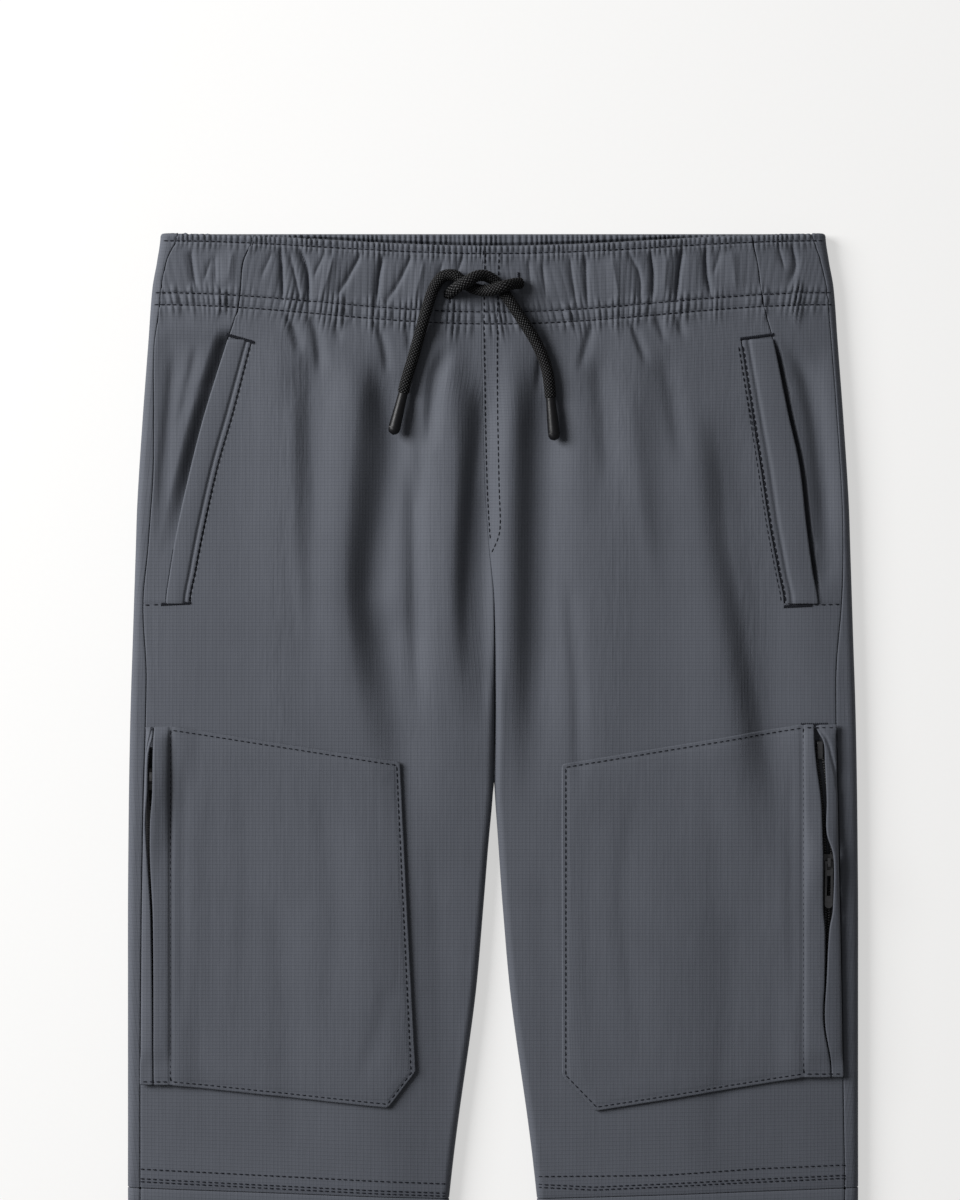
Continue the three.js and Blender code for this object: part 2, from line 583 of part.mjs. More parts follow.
// The cuff goes all round the ankle, with its own seam at the inner leg. Its gathers show on the upper side.
function cuff(side) {
  const none = () => 0;
  const trace = (row) => {
    const [from, to] = [innerEdge(side, row), outerEdge(side, row)];
    const top = lineAcross(row, from, to, none, (x, depth) => clothTop(side, x, depth));
    return [...top.slice(0, -1), ...lineAcross(row, to, from, none, (x, depth) => clothUnder(side, x, depth))];
  };
  const onTop = (k, columns) => k > 2 && k < 0.46 * columns;
  return panel({
    side,
    rows: CUFF_ROWS,
    trace,
    wall: () => CASING,
    points: (line) => spaced(line, 4 * CUFF_GATHERS, 0),
    innerPoints: (line) => spaced(line, 24),
    relief: (row, k, columns) => (k % 2 && onTop(k, columns) ? GATHER_RISE : 0),
  });
}

// Height of a finished skin at a place, between its rows and its points
function heightOn(skin, x, depth) {
  const across = (row) => {
    const found = row.findIndex((p) => (row.at(-1).x > row[0].x ? p.x >= x : p.x <= x));
    const k = found < 0 ? row.length - 1 : Math.max(found, 1);
    const t = clamp((x - row[k - 1].x) / (row[k].x - row[k - 1].x), 0, 1);
    return { depth: lerp(row[k - 1].depth, row[k].depth, t), z: lerp(row[k - 1].z, row[k].z, t) };
  };
  let before = across(skin[0]);
  for (const row of skin.slice(1)) {
    const after = across(row);
    const t = clamp((depth - before.depth) / (after.depth - before.depth), 0, 1);
    if (after.depth >= depth) return lerp(before.z, after.z, t);
    before = after;
  }
  return before.z;
}

// Cloth that lies on a panel. place gives x and depth, and lift and thick are heights above the panel's skin.
function layer({ skin, rows, columns, place, lift, thick }) {
  const outer = [];
  const inner = [];
  for (const share of [0, ...rows]) {
    const places = Array.from({ length: columns + 1 }, (_, j) => place(share, j));
    const under = places.map((p, j) => ({ ...p, z: heightOn(skin, p.x, p.depth) + lift(p.x, p.depth, j) }));
    inner.push(under);
    outer.push(under.map((p, j) => ({ ...p, z: p.z + thick(j) })));
  }
  return { outer, inner };
}

const slitEdge = (side, edge, depth) => side * read(SLIT[side], edge, depth);
const zipCentre = (side, depth) => side * read(ZIP_LINE[side], "x", depth);

// The cargo pocket's slanting top and bottom edges, and its inner edge
function cargoEdge(pocket, across, end) {
  const share = (from, to) => clamp((across - from) / (to - from), 0, 1);
  if (end === "top") return lerp(pocket.topInner, pocket.topZip, share(pocket.innerTop, pocket.zipLine));
  const straight = lerp(pocket.bottomInner, pocket.bottomZip, share(pocket.chamferX, pocket.zipLine));
  const cut = lerp(pocket.chamferTop, pocket.bottomInner, share(pocket.innerBottom, pocket.chamferX));
  return Math.min(straight, cut);
}

// Height of the cloth over the zip: level near a seam, standing up at the slit, and higher over the slider
function lipRise(side, depth, share) {
  const bulge = LIP_BULGE[side];
  const overSlider = bulge.rise * Math.exp(-(((depth - bulge.depth) / bulge.spread) ** 2));
  const ends = smoothstep(depth, 218.5, 224) * (1 - smoothstep(depth, ZIP_BOTTOM + 3, 370));
  const full = LIP_LIFT + overSlider - CLOTH - ZIP_LIFT;
  return ZIP_LIFT + full * ends * Math.sqrt(1 - (1 - share) ** 2);
}
function cargoPocket(side, skin) {
  const pocket = CARGO[side];
  const flatColumns = 11;
  const lipColumns = 3;
  const innerAt = (share) => lerp(pocket.innerTop, pocket.innerBottom, share);
  return layer({
    skin,
    rows: LIP_ROWS,
    columns: flatColumns + lipColumns,
    place: (share, j) => {
      const flat = lerp(innerAt(share), pocket.zipLine, Math.min(j / flatColumns, 1));
      const depth = lerp(cargoEdge(pocket, flat, "top"), cargoEdge(pocket, flat, "bottom"), share);
      const toSlit = Math.abs(slitEdge(side, "inner", depth)) - pocket.zipLine;
      return { x: side * (flat + toSlit * clamp(j / lipColumns - flatColumns / lipColumns, 0, 1)), depth };
    },
    lift: (x, depth) => {
      const past = Math.abs(x) - pocket.zipLine;
      if (past <= 0) return lerp(LAY_GAP, ZIP_LIFT, smoothstep(past, -14, -3));
      const toSlit = Math.abs(slitEdge(side, "inner", depth)) - pocket.zipLine;
      return lipRise(side, depth, clamp(past / toSlit, 0, 1));
    },
    thick: () => CARGO_LAYER,
  });
}

// The outer lip is a strip from the side seam to the slit
function outerLip(side, skin) {
  const pocket = CARGO[side];
  const columns = 3;
  const seamAt = (depth) => sideSeam(side, depth) - side * SEAM_GAP;
  return layer({
    skin,
    rows: LIP_ROWS,
    columns,
    place: (share, j) => {
      const depth = lerp(pocket.topZip, pocket.bottomZip, share);
      return { x: lerp(seamAt(depth), slitEdge(side, "outer", depth), j / columns), depth };
    },
    lift: (x, depth) => {
      const share = (x - seamAt(depth)) / (slitEdge(side, "outer", depth) - seamAt(depth));
      return lipRise(side, depth, clamp(share, 0, 1));
    },
    thick: () => CLOTH,
  });
}

// Half of a zip: half of the coil along the middle, on a tape that runs out to the line where it is sewn.
// The two halves stand apart above the slider's post, and close below it.
function zipHalf(side, skin, part) {
  const at = SLIDER[sideName(side)];
  const edges = [0, COIL_HALF, COIL_HALF + 0.3];
  const near = [-30, -14, -5, 5, 14].map((far) => at + far);
  const depths = [...near, at + 32, at + 54, at + 76, at + 98, ZIP_BOTTOM].filter(
    (depth) => depth > ZIP_TOP + 4 && (depth === ZIP_BOTTOM || depth < ZIP_BOTTOM - 4));
  return layer({
    skin,
    rows: depths.map((depth) => (depth - ZIP_TOP) / (ZIP_BOTTOM - ZIP_TOP)),
    columns: 3,
    place: (share, j) => {
      const depth = lerp(ZIP_TOP, ZIP_BOTTOM, share);
      const open = lerp(POST / 2 + SEAM_GAP, SEAM_GAP / 2, smoothstep(depth, at + 6, at + 14));
      const sewn = part === INNER ? side * (CARGO[side].zipLine - 1.5) : sideSeam(side, depth) - side * 0.6;
      const centre = zipCentre(side, depth);
      return { x: j === 3 ? sewn : centre + side * part * (open + edges[j]), depth };
    },
    lift: (x, depth, j) => TAPE_LIFT + (j < 3 ? (SLIDER.plate + SLIDER.clear) * nearSlider(side, depth) : 0),
    thick: (j) => (j < 2 ? TAPE_THICK + COIL_RISE : TAPE_THICK),
  });
}
const nearSlider = (side, depth) => 1 - smoothstep(Math.abs(depth - SLIDER[sideName(side)]), 5, 14);

// Solids for joining and cutting share their corners
const wasm = await Module();
wasm.setup();
function solid(geometry) {
  const plain = geometry.clone();
  plain.deleteAttribute("normal");
  plain.deleteAttribute("uv");
  const merged = mergeVertices(plain, 1e-4);
  const vertProperties = new Float32Array(merged.attributes.position.array);
  const triVerts = new Uint32Array(merged.index.array);
  return new wasm.Manifold(new wasm.Mesh({ numProp: 3, vertProperties, triVerts }));
}
function fromSolid(made) {
  const mesh = made.getMesh();
  return closedGeometry([...mesh.vertProperties], [...mesh.triVerts]);
}
const block = (width, length, height, x, y, z) =>
  solid(new THREE.BoxGeometry(width, length, height).translate(x, y, z));

// The slider: two plates joined by a post between the tapes, and an arch on top for the pull tab.
// Heights are from the under side of the lower plate.
const PLATE_TOP = SLIDER.plate * 2 + SLIDER.clear * 2 + TAPE_THICK + COIL_RISE;
const HINGE_HEIGHT = PLATE_TOP + ARCH.hole / 2;
function sliderGeometry() {
  const [reach, tall, sill] = [ARCH.half, ARCH.hole + ARCH.bar, 0.3];
  const rectangle = (y, bottom, top) => [[-y, bottom], [y, bottom], [y, top], [-y, top]].map(([a, b]) => new THREE.Vector2(a, b));
  const outline = new THREE.Shape(rectangle(reach, -sill, tall));
  outline.holes.push(new THREE.Path(rectangle(reach - ARCH.leg, 0.02, ARCH.hole).reverse()));
  const ring = new THREE.ExtrudeGeometry(outline, { depth: ARCH.width, bevelEnabled: false });
  ring.translate(0, 0, -ARCH.width / 2);
  const [acrossX, alongY, upZ] = [[1, 0, 0], [0, 1, 0], [0, 0, 1]].map((v) => new THREE.Vector3(...v));
  ring.applyMatrix4(new THREE.Matrix4().makeBasis(alongY, upZ, acrossX)).translate(0, 0, PLATE_TOP);
  return fromSolid(
    block(SLIDER.width, SLIDER.length, SLIDER.plate, 0, 0, SLIDER.plate / 2)
      .add(block(SLIDER.width, SLIDER.length, SLIDER.plate, 0, 0, PLATE_TOP - SLIDER.plate / 2))
      .add(block(POST, SLIDER.length - 0.8, PLATE_TOP - SLIDER.plate, 0, 0, PLATE_TOP / 2))
      .add(solid(ring)),
  );
}

// The pull tab: a flat plate with a round end, a window for the arch and a slot lower down. It hangs from
// the middle of its top bar, which is the origin here, and reaches along -Y.
function pullGeometry() {
  const half = PULL.width / 2;
  const outline = new THREE.Shape();
  outline.moveTo(-half, PULL.bar / 2);
  outline.lineTo(-half, half - PULL.length);
  outline.absarc(0, half - PULL.length, half, Math.PI, 2 * Math.PI, false);
  outline.lineTo(half, PULL.bar / 2);
  outline.closePath();
  for (const [top, bottom] of [[-PULL.bar / 2, -PULL.window], [-PULL.slotTop, -PULL.slotBottom]]) {
    const inside = half - PULL.arm;
    outline.holes.push(new THREE.Path([
      new THREE.Vector2(-inside, top), new THREE.Vector2(-inside, bottom),
      new THREE.Vector2(inside, bottom), new THREE.Vector2(inside, top),
    ]));
  }
  const plate = new THREE.ExtrudeGeometry(outline, { depth: PULL.thick, bevelEnabled: false, curveSegments: 8 });
  return fromSolid(solid(plate.translate(0, 0, -PULL.thick / 2)));
}

// The cord rests on the highest cloth below it
function bedUnder(skins, x, depth) {
  const skin = x < innerEdge(LEFT, depth) ? skins[RIGHT] : skins[LEFT];
  const reach = CORD * 0.45;
  const spots = [[0, 0], [reach, 0], [-reach, 0], [0, reach], [0, -reach], [reach, reach], [-reach, reach]];
  return Math.max(...spots.map(([dx, dy]) => heightOn(skin, x + dx, depth + dy)));
}
function cordCurve(skins, route) {
  const plan = new THREE.CatmullRomCurve3(route.map((p) => new THREE.Vector3(p.x, p.depth, p.lift)), false, "centripetal");
  const places = plan.getSpacedPoints(3 * CORD_STEPS);
  const bed = places.map((p) => bedUnder(skins, p.x, p.y));
  const smooth = bed.map((_, i) => Math.max(...bed.slice(Math.max(0, i - 3), i + 4)));
  const points = places.map((p, i) => new THREE.Vector3(p.x, LENGTH / 2 - p.y, smooth[i] + p.z + CORD / 2));
  return new THREE.CatmullRomCurve3(points.filter((_, i) => i % 4 === 0 || i === points.length - 1));
}
function cordGeometry(curve) {
  const round = new THREE.Shape();
  for (let i = 0; i < CORD_SIDES; i++) {
    const angle = (2 * Math.PI * i) / CORD_SIDES;
    const corner = [Math.cos(angle) * CORD / 2, Math.sin(angle) * CORD / 2];
    if (i === 0) round.moveTo(...corner);
    else round.lineTo(...corner);
  }
  round.closePath();
  return new THREE.ExtrudeGeometry(round, { steps: CORD_STEPS, extrudePath: curve, bevelEnabled: false });
}

// A moulded tip carries on from the end of its cord
function tipMesh(name, curve, skins) {
  const profile = [[0, 0], [TIP.neck, 0], [TIP.radius, 3], [TIP.radius, TIP.length - 2], [TIP.radius * 0.6, TIP.length - 0.3], [0, TIP.length]];
  const geometry = new THREE.LatheGeometry(profile.map(([r, y]) => new THREE.Vector2(r, y)), 12);
  const mesh = new THREE.Mesh(fromSolid(solid(geometry)), MATERIALS.tip);
  const end = curve.getPointAt(1);
  const way = curve.getTangentAt(1).setZ(0).normalize();
  const rests = [0, 0.5, 1].map((t) => {
    const spot = end.clone().addScaledVector(way, t * TIP.length);
    return bedUnder(skins, spot.x, LENGTH / 2 - spot.y);
  });
  const start = end.clone().addScaledVector(way, SEAM_GAP);
  start.z = Math.max(end.z, Math.max(...rests) + TIP.radius + 0.5);
  mesh.position.copy(start);
  mesh.quaternion.setFromUnitVectors(new THREE.Vector3(0, 1, 0), way);
  mesh.name = name;
  return mesh;
}

function named(name, geometry, material) {
  const mesh = new THREE.Mesh(geometry, material);
  mesh.name = name;
  return mesh;
}
const clothMesh = (name, skins) => named(name, wallBetween(skins.outer, skins.inner), MATERIALS.cloth);

const joggers = new THREE.Group();
joggers.name = "joggers";
const skins = {};
for (const side of [RIGHT, LEFT]) {
  const end = sideName(side);
  const front = frontPanel(side);
  skins[side] = front.outer;
  joggers.add(
    clothMesh(`front_${end}`, front),
    clothMesh(`back_${end}`, backPanel(side)),
    clothMesh(`side_facing_${end}`, facingPanel(side)),
    clothMesh(`pocket_welt_${end}`, weltPanel(side)),
    clothMesh(`cargo_pocket_${end}`, cargoPocket(side, front.outer)),
    clothMesh(`cargo_lip_${end}`, outerLip(side, front.outer)),
    clothMesh(`lower_front_${end}`, lowerFront(side)),
    clothMesh(`lower_back_${end}`, lowerBack(side)),
    clothMesh(`cuff_${end}`, cuff(side)),
  );
  for (const [part, name] of [[INNER, "inner"], [OUTER, "outer"]]) {
    const half = zipHalf(side, front.outer, part);
    joggers.add(named(`zip_${name}_${end}`, wallBetween(half.outer, half.inner), MATERIALS.zip));
  }

  // The slider and its pull tab stand on the leg below the zip, square to its slope there
  const hardware = new THREE.Group();
  const depth = SLIDER[end];
  const across = SLIDER.width / 2;
  const [low, high] = [-across, across].map((far) => heightOn(front.outer, zipCentre(side, depth) + far, depth));
  hardware.position.set(zipCentre(side, depth), LENGTH / 2 - depth, (low + high) / 2 + TAPE_LIFT + 0.05);
  hardware.rotation.y = -Math.atan2(high - low, 2 * across);
  const pull = named(`zip_pull_${end}`, pullGeometry(), MATERIALS.slider);
  pull.position.set(0, 0, HINGE_HEIGHT);
  pull.rotation.x = degToRad(PULL.rest);
  hardware.add(named(`zip_slider_${end}`, sliderGeometry(), MATERIALS.slider), pull);
  joggers.add(hardware);
}

// The drawcord's two ends, with their tips
for (const [end, route] of [["right", CORD_RIGHT], ["left", CORD_LEFT]]) {
  const curve = cordCurve(skins, route);
  joggers.add(named(`drawcord_${end}`, cordGeometry(curve), MATERIALS.cord), tipMesh(`cord_tip_${end}`, curve, skins));
}

export default joggers;
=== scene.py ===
# %% [markdown]
# # Children's utility joggers, laid flat
# The trousers lie on their back on a pale table and are seen from straight above. They are sewn from a thin
# ripstop with elastic in the waist, a knotted drawcord, hand pockets and a zipped cargo pocket on each thigh.
# The CAD model is the fixed frame: it says where each piece is. Here each piece is made again as finer cloth.
# Lengths are in millimetres until a mesh is made. Depth is measured down from the waist.

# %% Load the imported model
import bpy
import numpy as np
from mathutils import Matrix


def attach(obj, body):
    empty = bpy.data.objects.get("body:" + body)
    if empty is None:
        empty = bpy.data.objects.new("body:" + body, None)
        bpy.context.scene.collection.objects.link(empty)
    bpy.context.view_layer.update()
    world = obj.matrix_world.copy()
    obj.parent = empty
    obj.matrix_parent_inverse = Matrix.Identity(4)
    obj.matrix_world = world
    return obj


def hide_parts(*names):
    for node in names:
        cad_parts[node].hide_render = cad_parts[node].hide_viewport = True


MM = 0.001
LENGTH = 880
RIGHT, LEFT = -1, 1
SIDES = {RIGHT: "right", LEFT: "left"}

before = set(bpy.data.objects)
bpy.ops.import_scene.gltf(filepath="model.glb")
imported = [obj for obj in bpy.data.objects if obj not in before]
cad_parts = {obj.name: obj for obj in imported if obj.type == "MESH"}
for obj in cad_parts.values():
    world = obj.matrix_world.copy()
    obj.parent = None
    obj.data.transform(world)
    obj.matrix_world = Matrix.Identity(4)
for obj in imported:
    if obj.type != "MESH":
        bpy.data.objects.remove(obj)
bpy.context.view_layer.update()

# %% [markdown]
# ## The camera
# A flat garment is photographed from straight above. A long lens high up keeps the legs parallel. The frame
# is 426 by 533 mm at the cloth, which holds the waist and the thighs down to the seam above the knee.

# %% Camera
CAMERA_X, CAMERA_DEPTH = -5.8, 162.9
FRAME_HEIGHT = 532.8
LENS, SENSOR = 100, 36
camera = bpy.data.objects.new("camera", bpy.data.cameras.new("camera"))
bpy.context.scene.collection.objects.link(camera)
camera.data.sensor_fit = "VERTICAL"
camera.data.sensor_height = SENSOR
camera.data.lens = LENS
camera_height = FRAME_HEIGHT * LENS / SENSOR + 7
camera.location = (CAMERA_X * MM, (LENGTH / 2 - CAMERA_DEPTH) * MM, camera_height * MM)
bpy.context.scene.camera = camera
print("camera", round(camera_height), "mm above the table")

# %% [markdown]
# ## The shape of the garment
# Each leg and each half of the hips is a flattened tube. These tables and functions are those of the CAD
# model: the outline at each depth, the seams, and the large folds that fall from the gathers. They work on
# whole arrays, so one call gives the height of every point of a panel.

# %% Tables of the garment
def table(names, *rows):
    """The columns of a table by name, each an array."""
    return dict(zip(names.split(), np.array(rows, float).T))


def read(rows, column, depth):
    """One column at any depth: a cubic between rows, whose slope at a row is that of its neighbours."""
    at, value = rows["depth"], rows[column]
    slope = np.zeros_like(value)
    slope[1:-1] = (value[2:] - value[:-2]) / (at[2:] - at[:-2])
    i = np.clip(np.searchsorted(at, depth, side="right") - 1, 0, len(at) - 2)
    span = at[i + 1] - at[i]
    t = np.clip((depth - at[i]) / span, 0, 1)
    rise = value[i + 1] - value[i]
    bend = (slope[i] * span - rise) * (1 - t) + (rise - slope[i + 1] * span) * t
    return value[i] + rise * t + bend * t * (1 - t)


OUTLINE = table(
    "depth outer gap height open",
    (0, 148, 0, 6.9, 0), (12, 149.5, 0, 6.9, 0), (24, 151.6, 0, 6.9, 0), (48, 153.4, 0, 7.1, 0),
    (83, 156, 0, 7.4, 0), (119, 158.3, 0, 7.5, 0), (140, 159, 0, 7.5, 0.02), (180, 160.3, 0, 7.5, 0.3),
    (210, 161.3, 0, 7.5, 0.7), (245, 162, 0.2, 7.5, 1), (272, 162.3, 2.2, 7.5, 1), (300, 162.5, 4.3, 7.5, 1),
    (340, 162.5, 7.9, 7.4, 1), (398, 162.5, 15.9, 7.2, 1), (429, 162.5, 19.5, 7, 1), (520, 161.5, 28.5, 7, 1),
    (640, 158.5, 38, 7, 1), (760, 155.2, 44.5, 6.9, 1), (822, 153.4, 46.6, 6.9, 1),
    (838, 150.6, 49.8, 6.9, 1), (880, 149.6, 51.4, 6.9, 1),
)
CENTRE = table(
    "depth x",
    (0, -4.4), (39, -4.9), (110, -3.6), (139, -1.8), (163, 0.4), (207, 0.9), (247, 0.4), (300, 0),
)
SIDE_SEAM = table(
    "depth right left",
    (0, 8, 6), (12, 4.6, 4), (34, 4.2, 3.2), (50, 3, 3), (82, 5.3, 3), (110, 6.8, 3), (140, 5.8, 3.4),
    (165, 4.4, 5), (198, 7, 8.6), (261, 6.7, 8.8), (374, 5.8, 7), (429, 5.8, 6.2), (700, 5.8, 6), (880, 5, 5),
)
HAND_POCKET = table(
    "depth mouth_right welt_right mouth_left welt_left",
    (0, 106.6, 96, 115, 103), (12, 111, 99, 117.4, 105), (30, 112.8, 103, 120, 108),
    (47, 118, 107.2, 124.4, 110.4), (80, 128, 115.4, 131, 115.5), (103, 133.9, 121.9, 136, 119.1),
    (130, 139.9, 128, 139.1, 123.2), (150, 143.3, 131.9, 141.8, 127), (165, 145.1, 134.5, 144.2, 129.6),
)
FOLDS = table(
    "top_row end_row top middle bottom rise right left",
    (40, 250, -54, -66, -50, 3.2, 15, 8), (36, 236, -21, -17, -15, 2.8, 11, 7),
    (36, 268, 9, 10, 10, 3.3, 9, 8), (70, 315, 82, 104, 133, 2.4, 19, 13),
    (36, 200, -97, -95, -91, 1.4, 13, 9), (38, 160, 62, 64, 67, 1.4, 12, 9),
    (40, 140, 36, 37, 40, 1.2, 9, 8), (262, 520, -56, -52, -60, 1.3, 34, 18),
    (262, 540, 70, 84, 92, 1.2, 34, 22), (470, 700, -120, -112, -106, 1.6, 15, 10),
    (500, 760, 118, 106, 100, 1.5, 16, 10), (640, 838, -86, -92, -90, 1.4, 12, 9),
    (700, 838, 126, 120, 118, 1.3, 11, 9),
)

# %% Seam lines and heights
SEAM_GAP, BACK_LAP = 0.5, 0.42
ROLL, ROLL_SHARE, SHOULDER, MID_SHARE = 3.4, 0.8, 30, 0.46
WAIST_DIP, CASING_DIP, DIP_SPAN, DIP_END = 5.3, 8.6, 150, 110
TOP_STITCH, CASING_STITCH, CASING_END = 3.3, 26.4, 31.7
KNEE_DEPTH, KNEE_SLANT = 424, 5


def smoothstep(value, low, high):
    """0 below low, 1 above high, with 3t^2 - 2t^3 between them."""
    t = np.clip((value - low) / (high - low), 0, 1)
    return t * t * (3 - 2 * t)


def mix(a, b, t):
    """a at t = 0, b at t = 1."""
    return a + (b - a) * t


def outer_edge(side, depth):
    return side * read(OUTLINE, "outer", depth)


def inner_edge(side, depth):
    return read(CENTRE, "x", depth) + side * np.maximum(SEAM_GAP / 2, read(OUTLINE, "gap", depth))


def side_seam(side, depth):
    return outer_edge(side, depth) - side * read(SIDE_SEAM, SIDES[side], depth)


def pocket_mouth(side, depth):
    return side * read(HAND_POCKET, "mouth_" + SIDES[side], depth)


def welt_line(side, depth):
    return side * read(HAND_POCKET, "welt_" + SIDES[side], depth)


def waist_dip(x, row):
    """The front hangs lower at its centre: a cosine squared across, which fades out below the casing."""
    dip = mix(WAIST_DIP, CASING_DIP, np.clip(row / CASING_STITCH, 0, 1))
    across = np.cos(np.pi * np.clip(np.abs(x) / DIP_SPAN, 0, 1) / 2) ** 2
    return dip * (1 - smoothstep(row, CASING_END, DIP_END)) * across


def knee_slant(x, row):
    """The knee seam runs lower towards the inner leg."""
    near = smoothstep(row, KNEE_DEPTH - 60, KNEE_DEPTH - 10)
    near = near * (1 - smoothstep(row, KNEE_DEPTH + 20, KNEE_DEPTH + 100))
    return KNEE_SLANT * near * (1 - np.clip((np.abs(x) - 20) / 142, 0, 1))


def front_shift(x, row):
    return waist_dip(x, row) + knee_slant(x, row)


def row_at(x, depth):
    """The row that passes through a place: its depth less the shift there, found by repeating it."""
    row = depth - front_shift(x, depth)
    for _ in range(4):
        row = depth - front_shift(x, row)
    return row


def fold_height(x, depth):
    """The sum of the large folds. Each is a bell curve across, and its crest bends along a parabola."""
    height = np.zeros(np.broadcast(x, depth).shape)
    for start, end, top, middle, bottom, rise, right, left in zip(*FOLDS.values()):
        t = (depth - start) / (end - start)
        crest = mix(mix(top, bottom, t), middle, 4 * t * (1 - t))
        spread = np.where(x < crest, right, left)
        along = smoothstep(t, 0, 0.18) * (1 - smoothstep(t, 0.55, 1)) * (t > 0) * (t < 1)
        height = height + rise * along * np.exp(-(((x - crest) / spread) ** 2))
    return height


def roll_up(distance):
    """A quarter circle: 0 at a folded edge and 1 from ROLL inwards."""
    return np.sqrt(1 - (1 - np.clip(distance / ROLL, 0, 1)) ** 2)


def pillow(distance):
    """The roll of an edge, then a long sine shoulder."""
    shoulder = np.sin(np.clip(distance / SHOULDER, 0, 1) * np.pi / 2)
    return ROLL_SHARE * roll_up(distance) + (1 - ROLL_SHARE) * shoulder


def fullness(side, x, depth, profile):
    """The share of its height that the tube has at a place. The crease at the inner leg deepens as they part."""
    from_outer = np.maximum(0, side * (outer_edge(side, depth) - x))
    from_inner = np.maximum(0, side * (x - inner_edge(side, depth)))
    opened = np.clip(read(OUTLINE, "open", depth), 0, 1)
    return profile(from_outer) * (1 - opened * (1 - profile(from_inner)))


def cloth_top(side, x, depth):
    height = read(OUTLINE, "height", depth)
    middle = MID_SHARE * height
    return middle + (height - middle + fold_height(x, depth)) * fullness(side, x, depth, pillow)


def cloth_under(side, x, depth):
    return MID_SHARE * read(OUTLINE, "height", depth) * (1 - fullness(side, x, depth, roll_up))


print("height of the cloth at the hips", round(float(cloth_top(LEFT, 60, 100)), 2), "mm")

# %% [markdown]
# ## Gathers and creases
# Elastic draws the casing together, so its cloth stands in small pleats. At the top edge they are close and
# even. In the cord's channel they let go into a few slanting folds, and between the two lower rows of sewing
# they are tight again. A pleat is the absolute value of a sine, because that has a sharp valley between
# round ridges. The larger creases are listed one by one, each along a few points, with a soft trough of its
# own width, as the cloth shows them.

# %% Small pleats of the waist
TOP_PLEAT, ROW_PLEAT, CUFF_PLEAT = 2.4, 2.8, 3.1


def wander(x, step, seed):
    """A slow wave that never repeats within the garment, from -1 to 1."""
    return 0.6 * np.sin(x / step + seed) + 0.4 * np.sin(x / (0.43 * step) + 2.3 * seed)


def pleats(x, pitch, seed):
    """Round ridges with sharp valleys, whose pitch and height vary."""
    phase = np.pi * x / pitch + 1.6 * wander(x, 7.0, seed)
    return np.abs(np.sin(phase)) ** 0.7 * (0.7 + 0.3 * wander(x, 4.1, seed + 1))


def near_welt(x):
    """The casing is flat and strong where a hand pocket starts below it."""
    return np.exp(-(((x + 101) / 7) ** 2)) + np.exp(-(((x - 108) / 9) ** 2))


def waist_pleats(x, row):
    """Even pleats at the top edge, uneven ones at the two lower rows, and almost none between. Along each row
    the sewing holds them half flat."""
    length = 4.2 + 2.6 * wander(x, 3, 7)
    at_top = 1 - smoothstep(row, TOP_STITCH, TOP_STITCH + 1 + length)
    slant = x + 0.3 * (row - CASING_STITCH) * wander(x, 30, 4)
    at_rows = smoothstep(row, 25.5 - length, 25.8) * (1 - smoothstep(row, 31.5, 32.5 + 1.6 * length))
    uneven = np.clip(0.75 + 0.55 * wander(x, 2.7, 2), 0.3, 1.15) * (1 - 0.8 * np.clip(near_welt(x), 0, 1))
    soft = smoothstep(row, 6, 12) * (1 - smoothstep(row, 20, 26)) * 0.22
    held = 0
    for line in (TOP_STITCH, CASING_STITCH, CASING_END):
        held = held + 0.55 * np.exp(-(((row - line) / 0.9) ** 2))
    height = 1.15 * at_top * pleats(x, TOP_PLEAT, 1) + (1.6 * uneven * at_rows + soft) * pleats(slant, ROW_PLEAT, 5)
    return (1 - held) * height
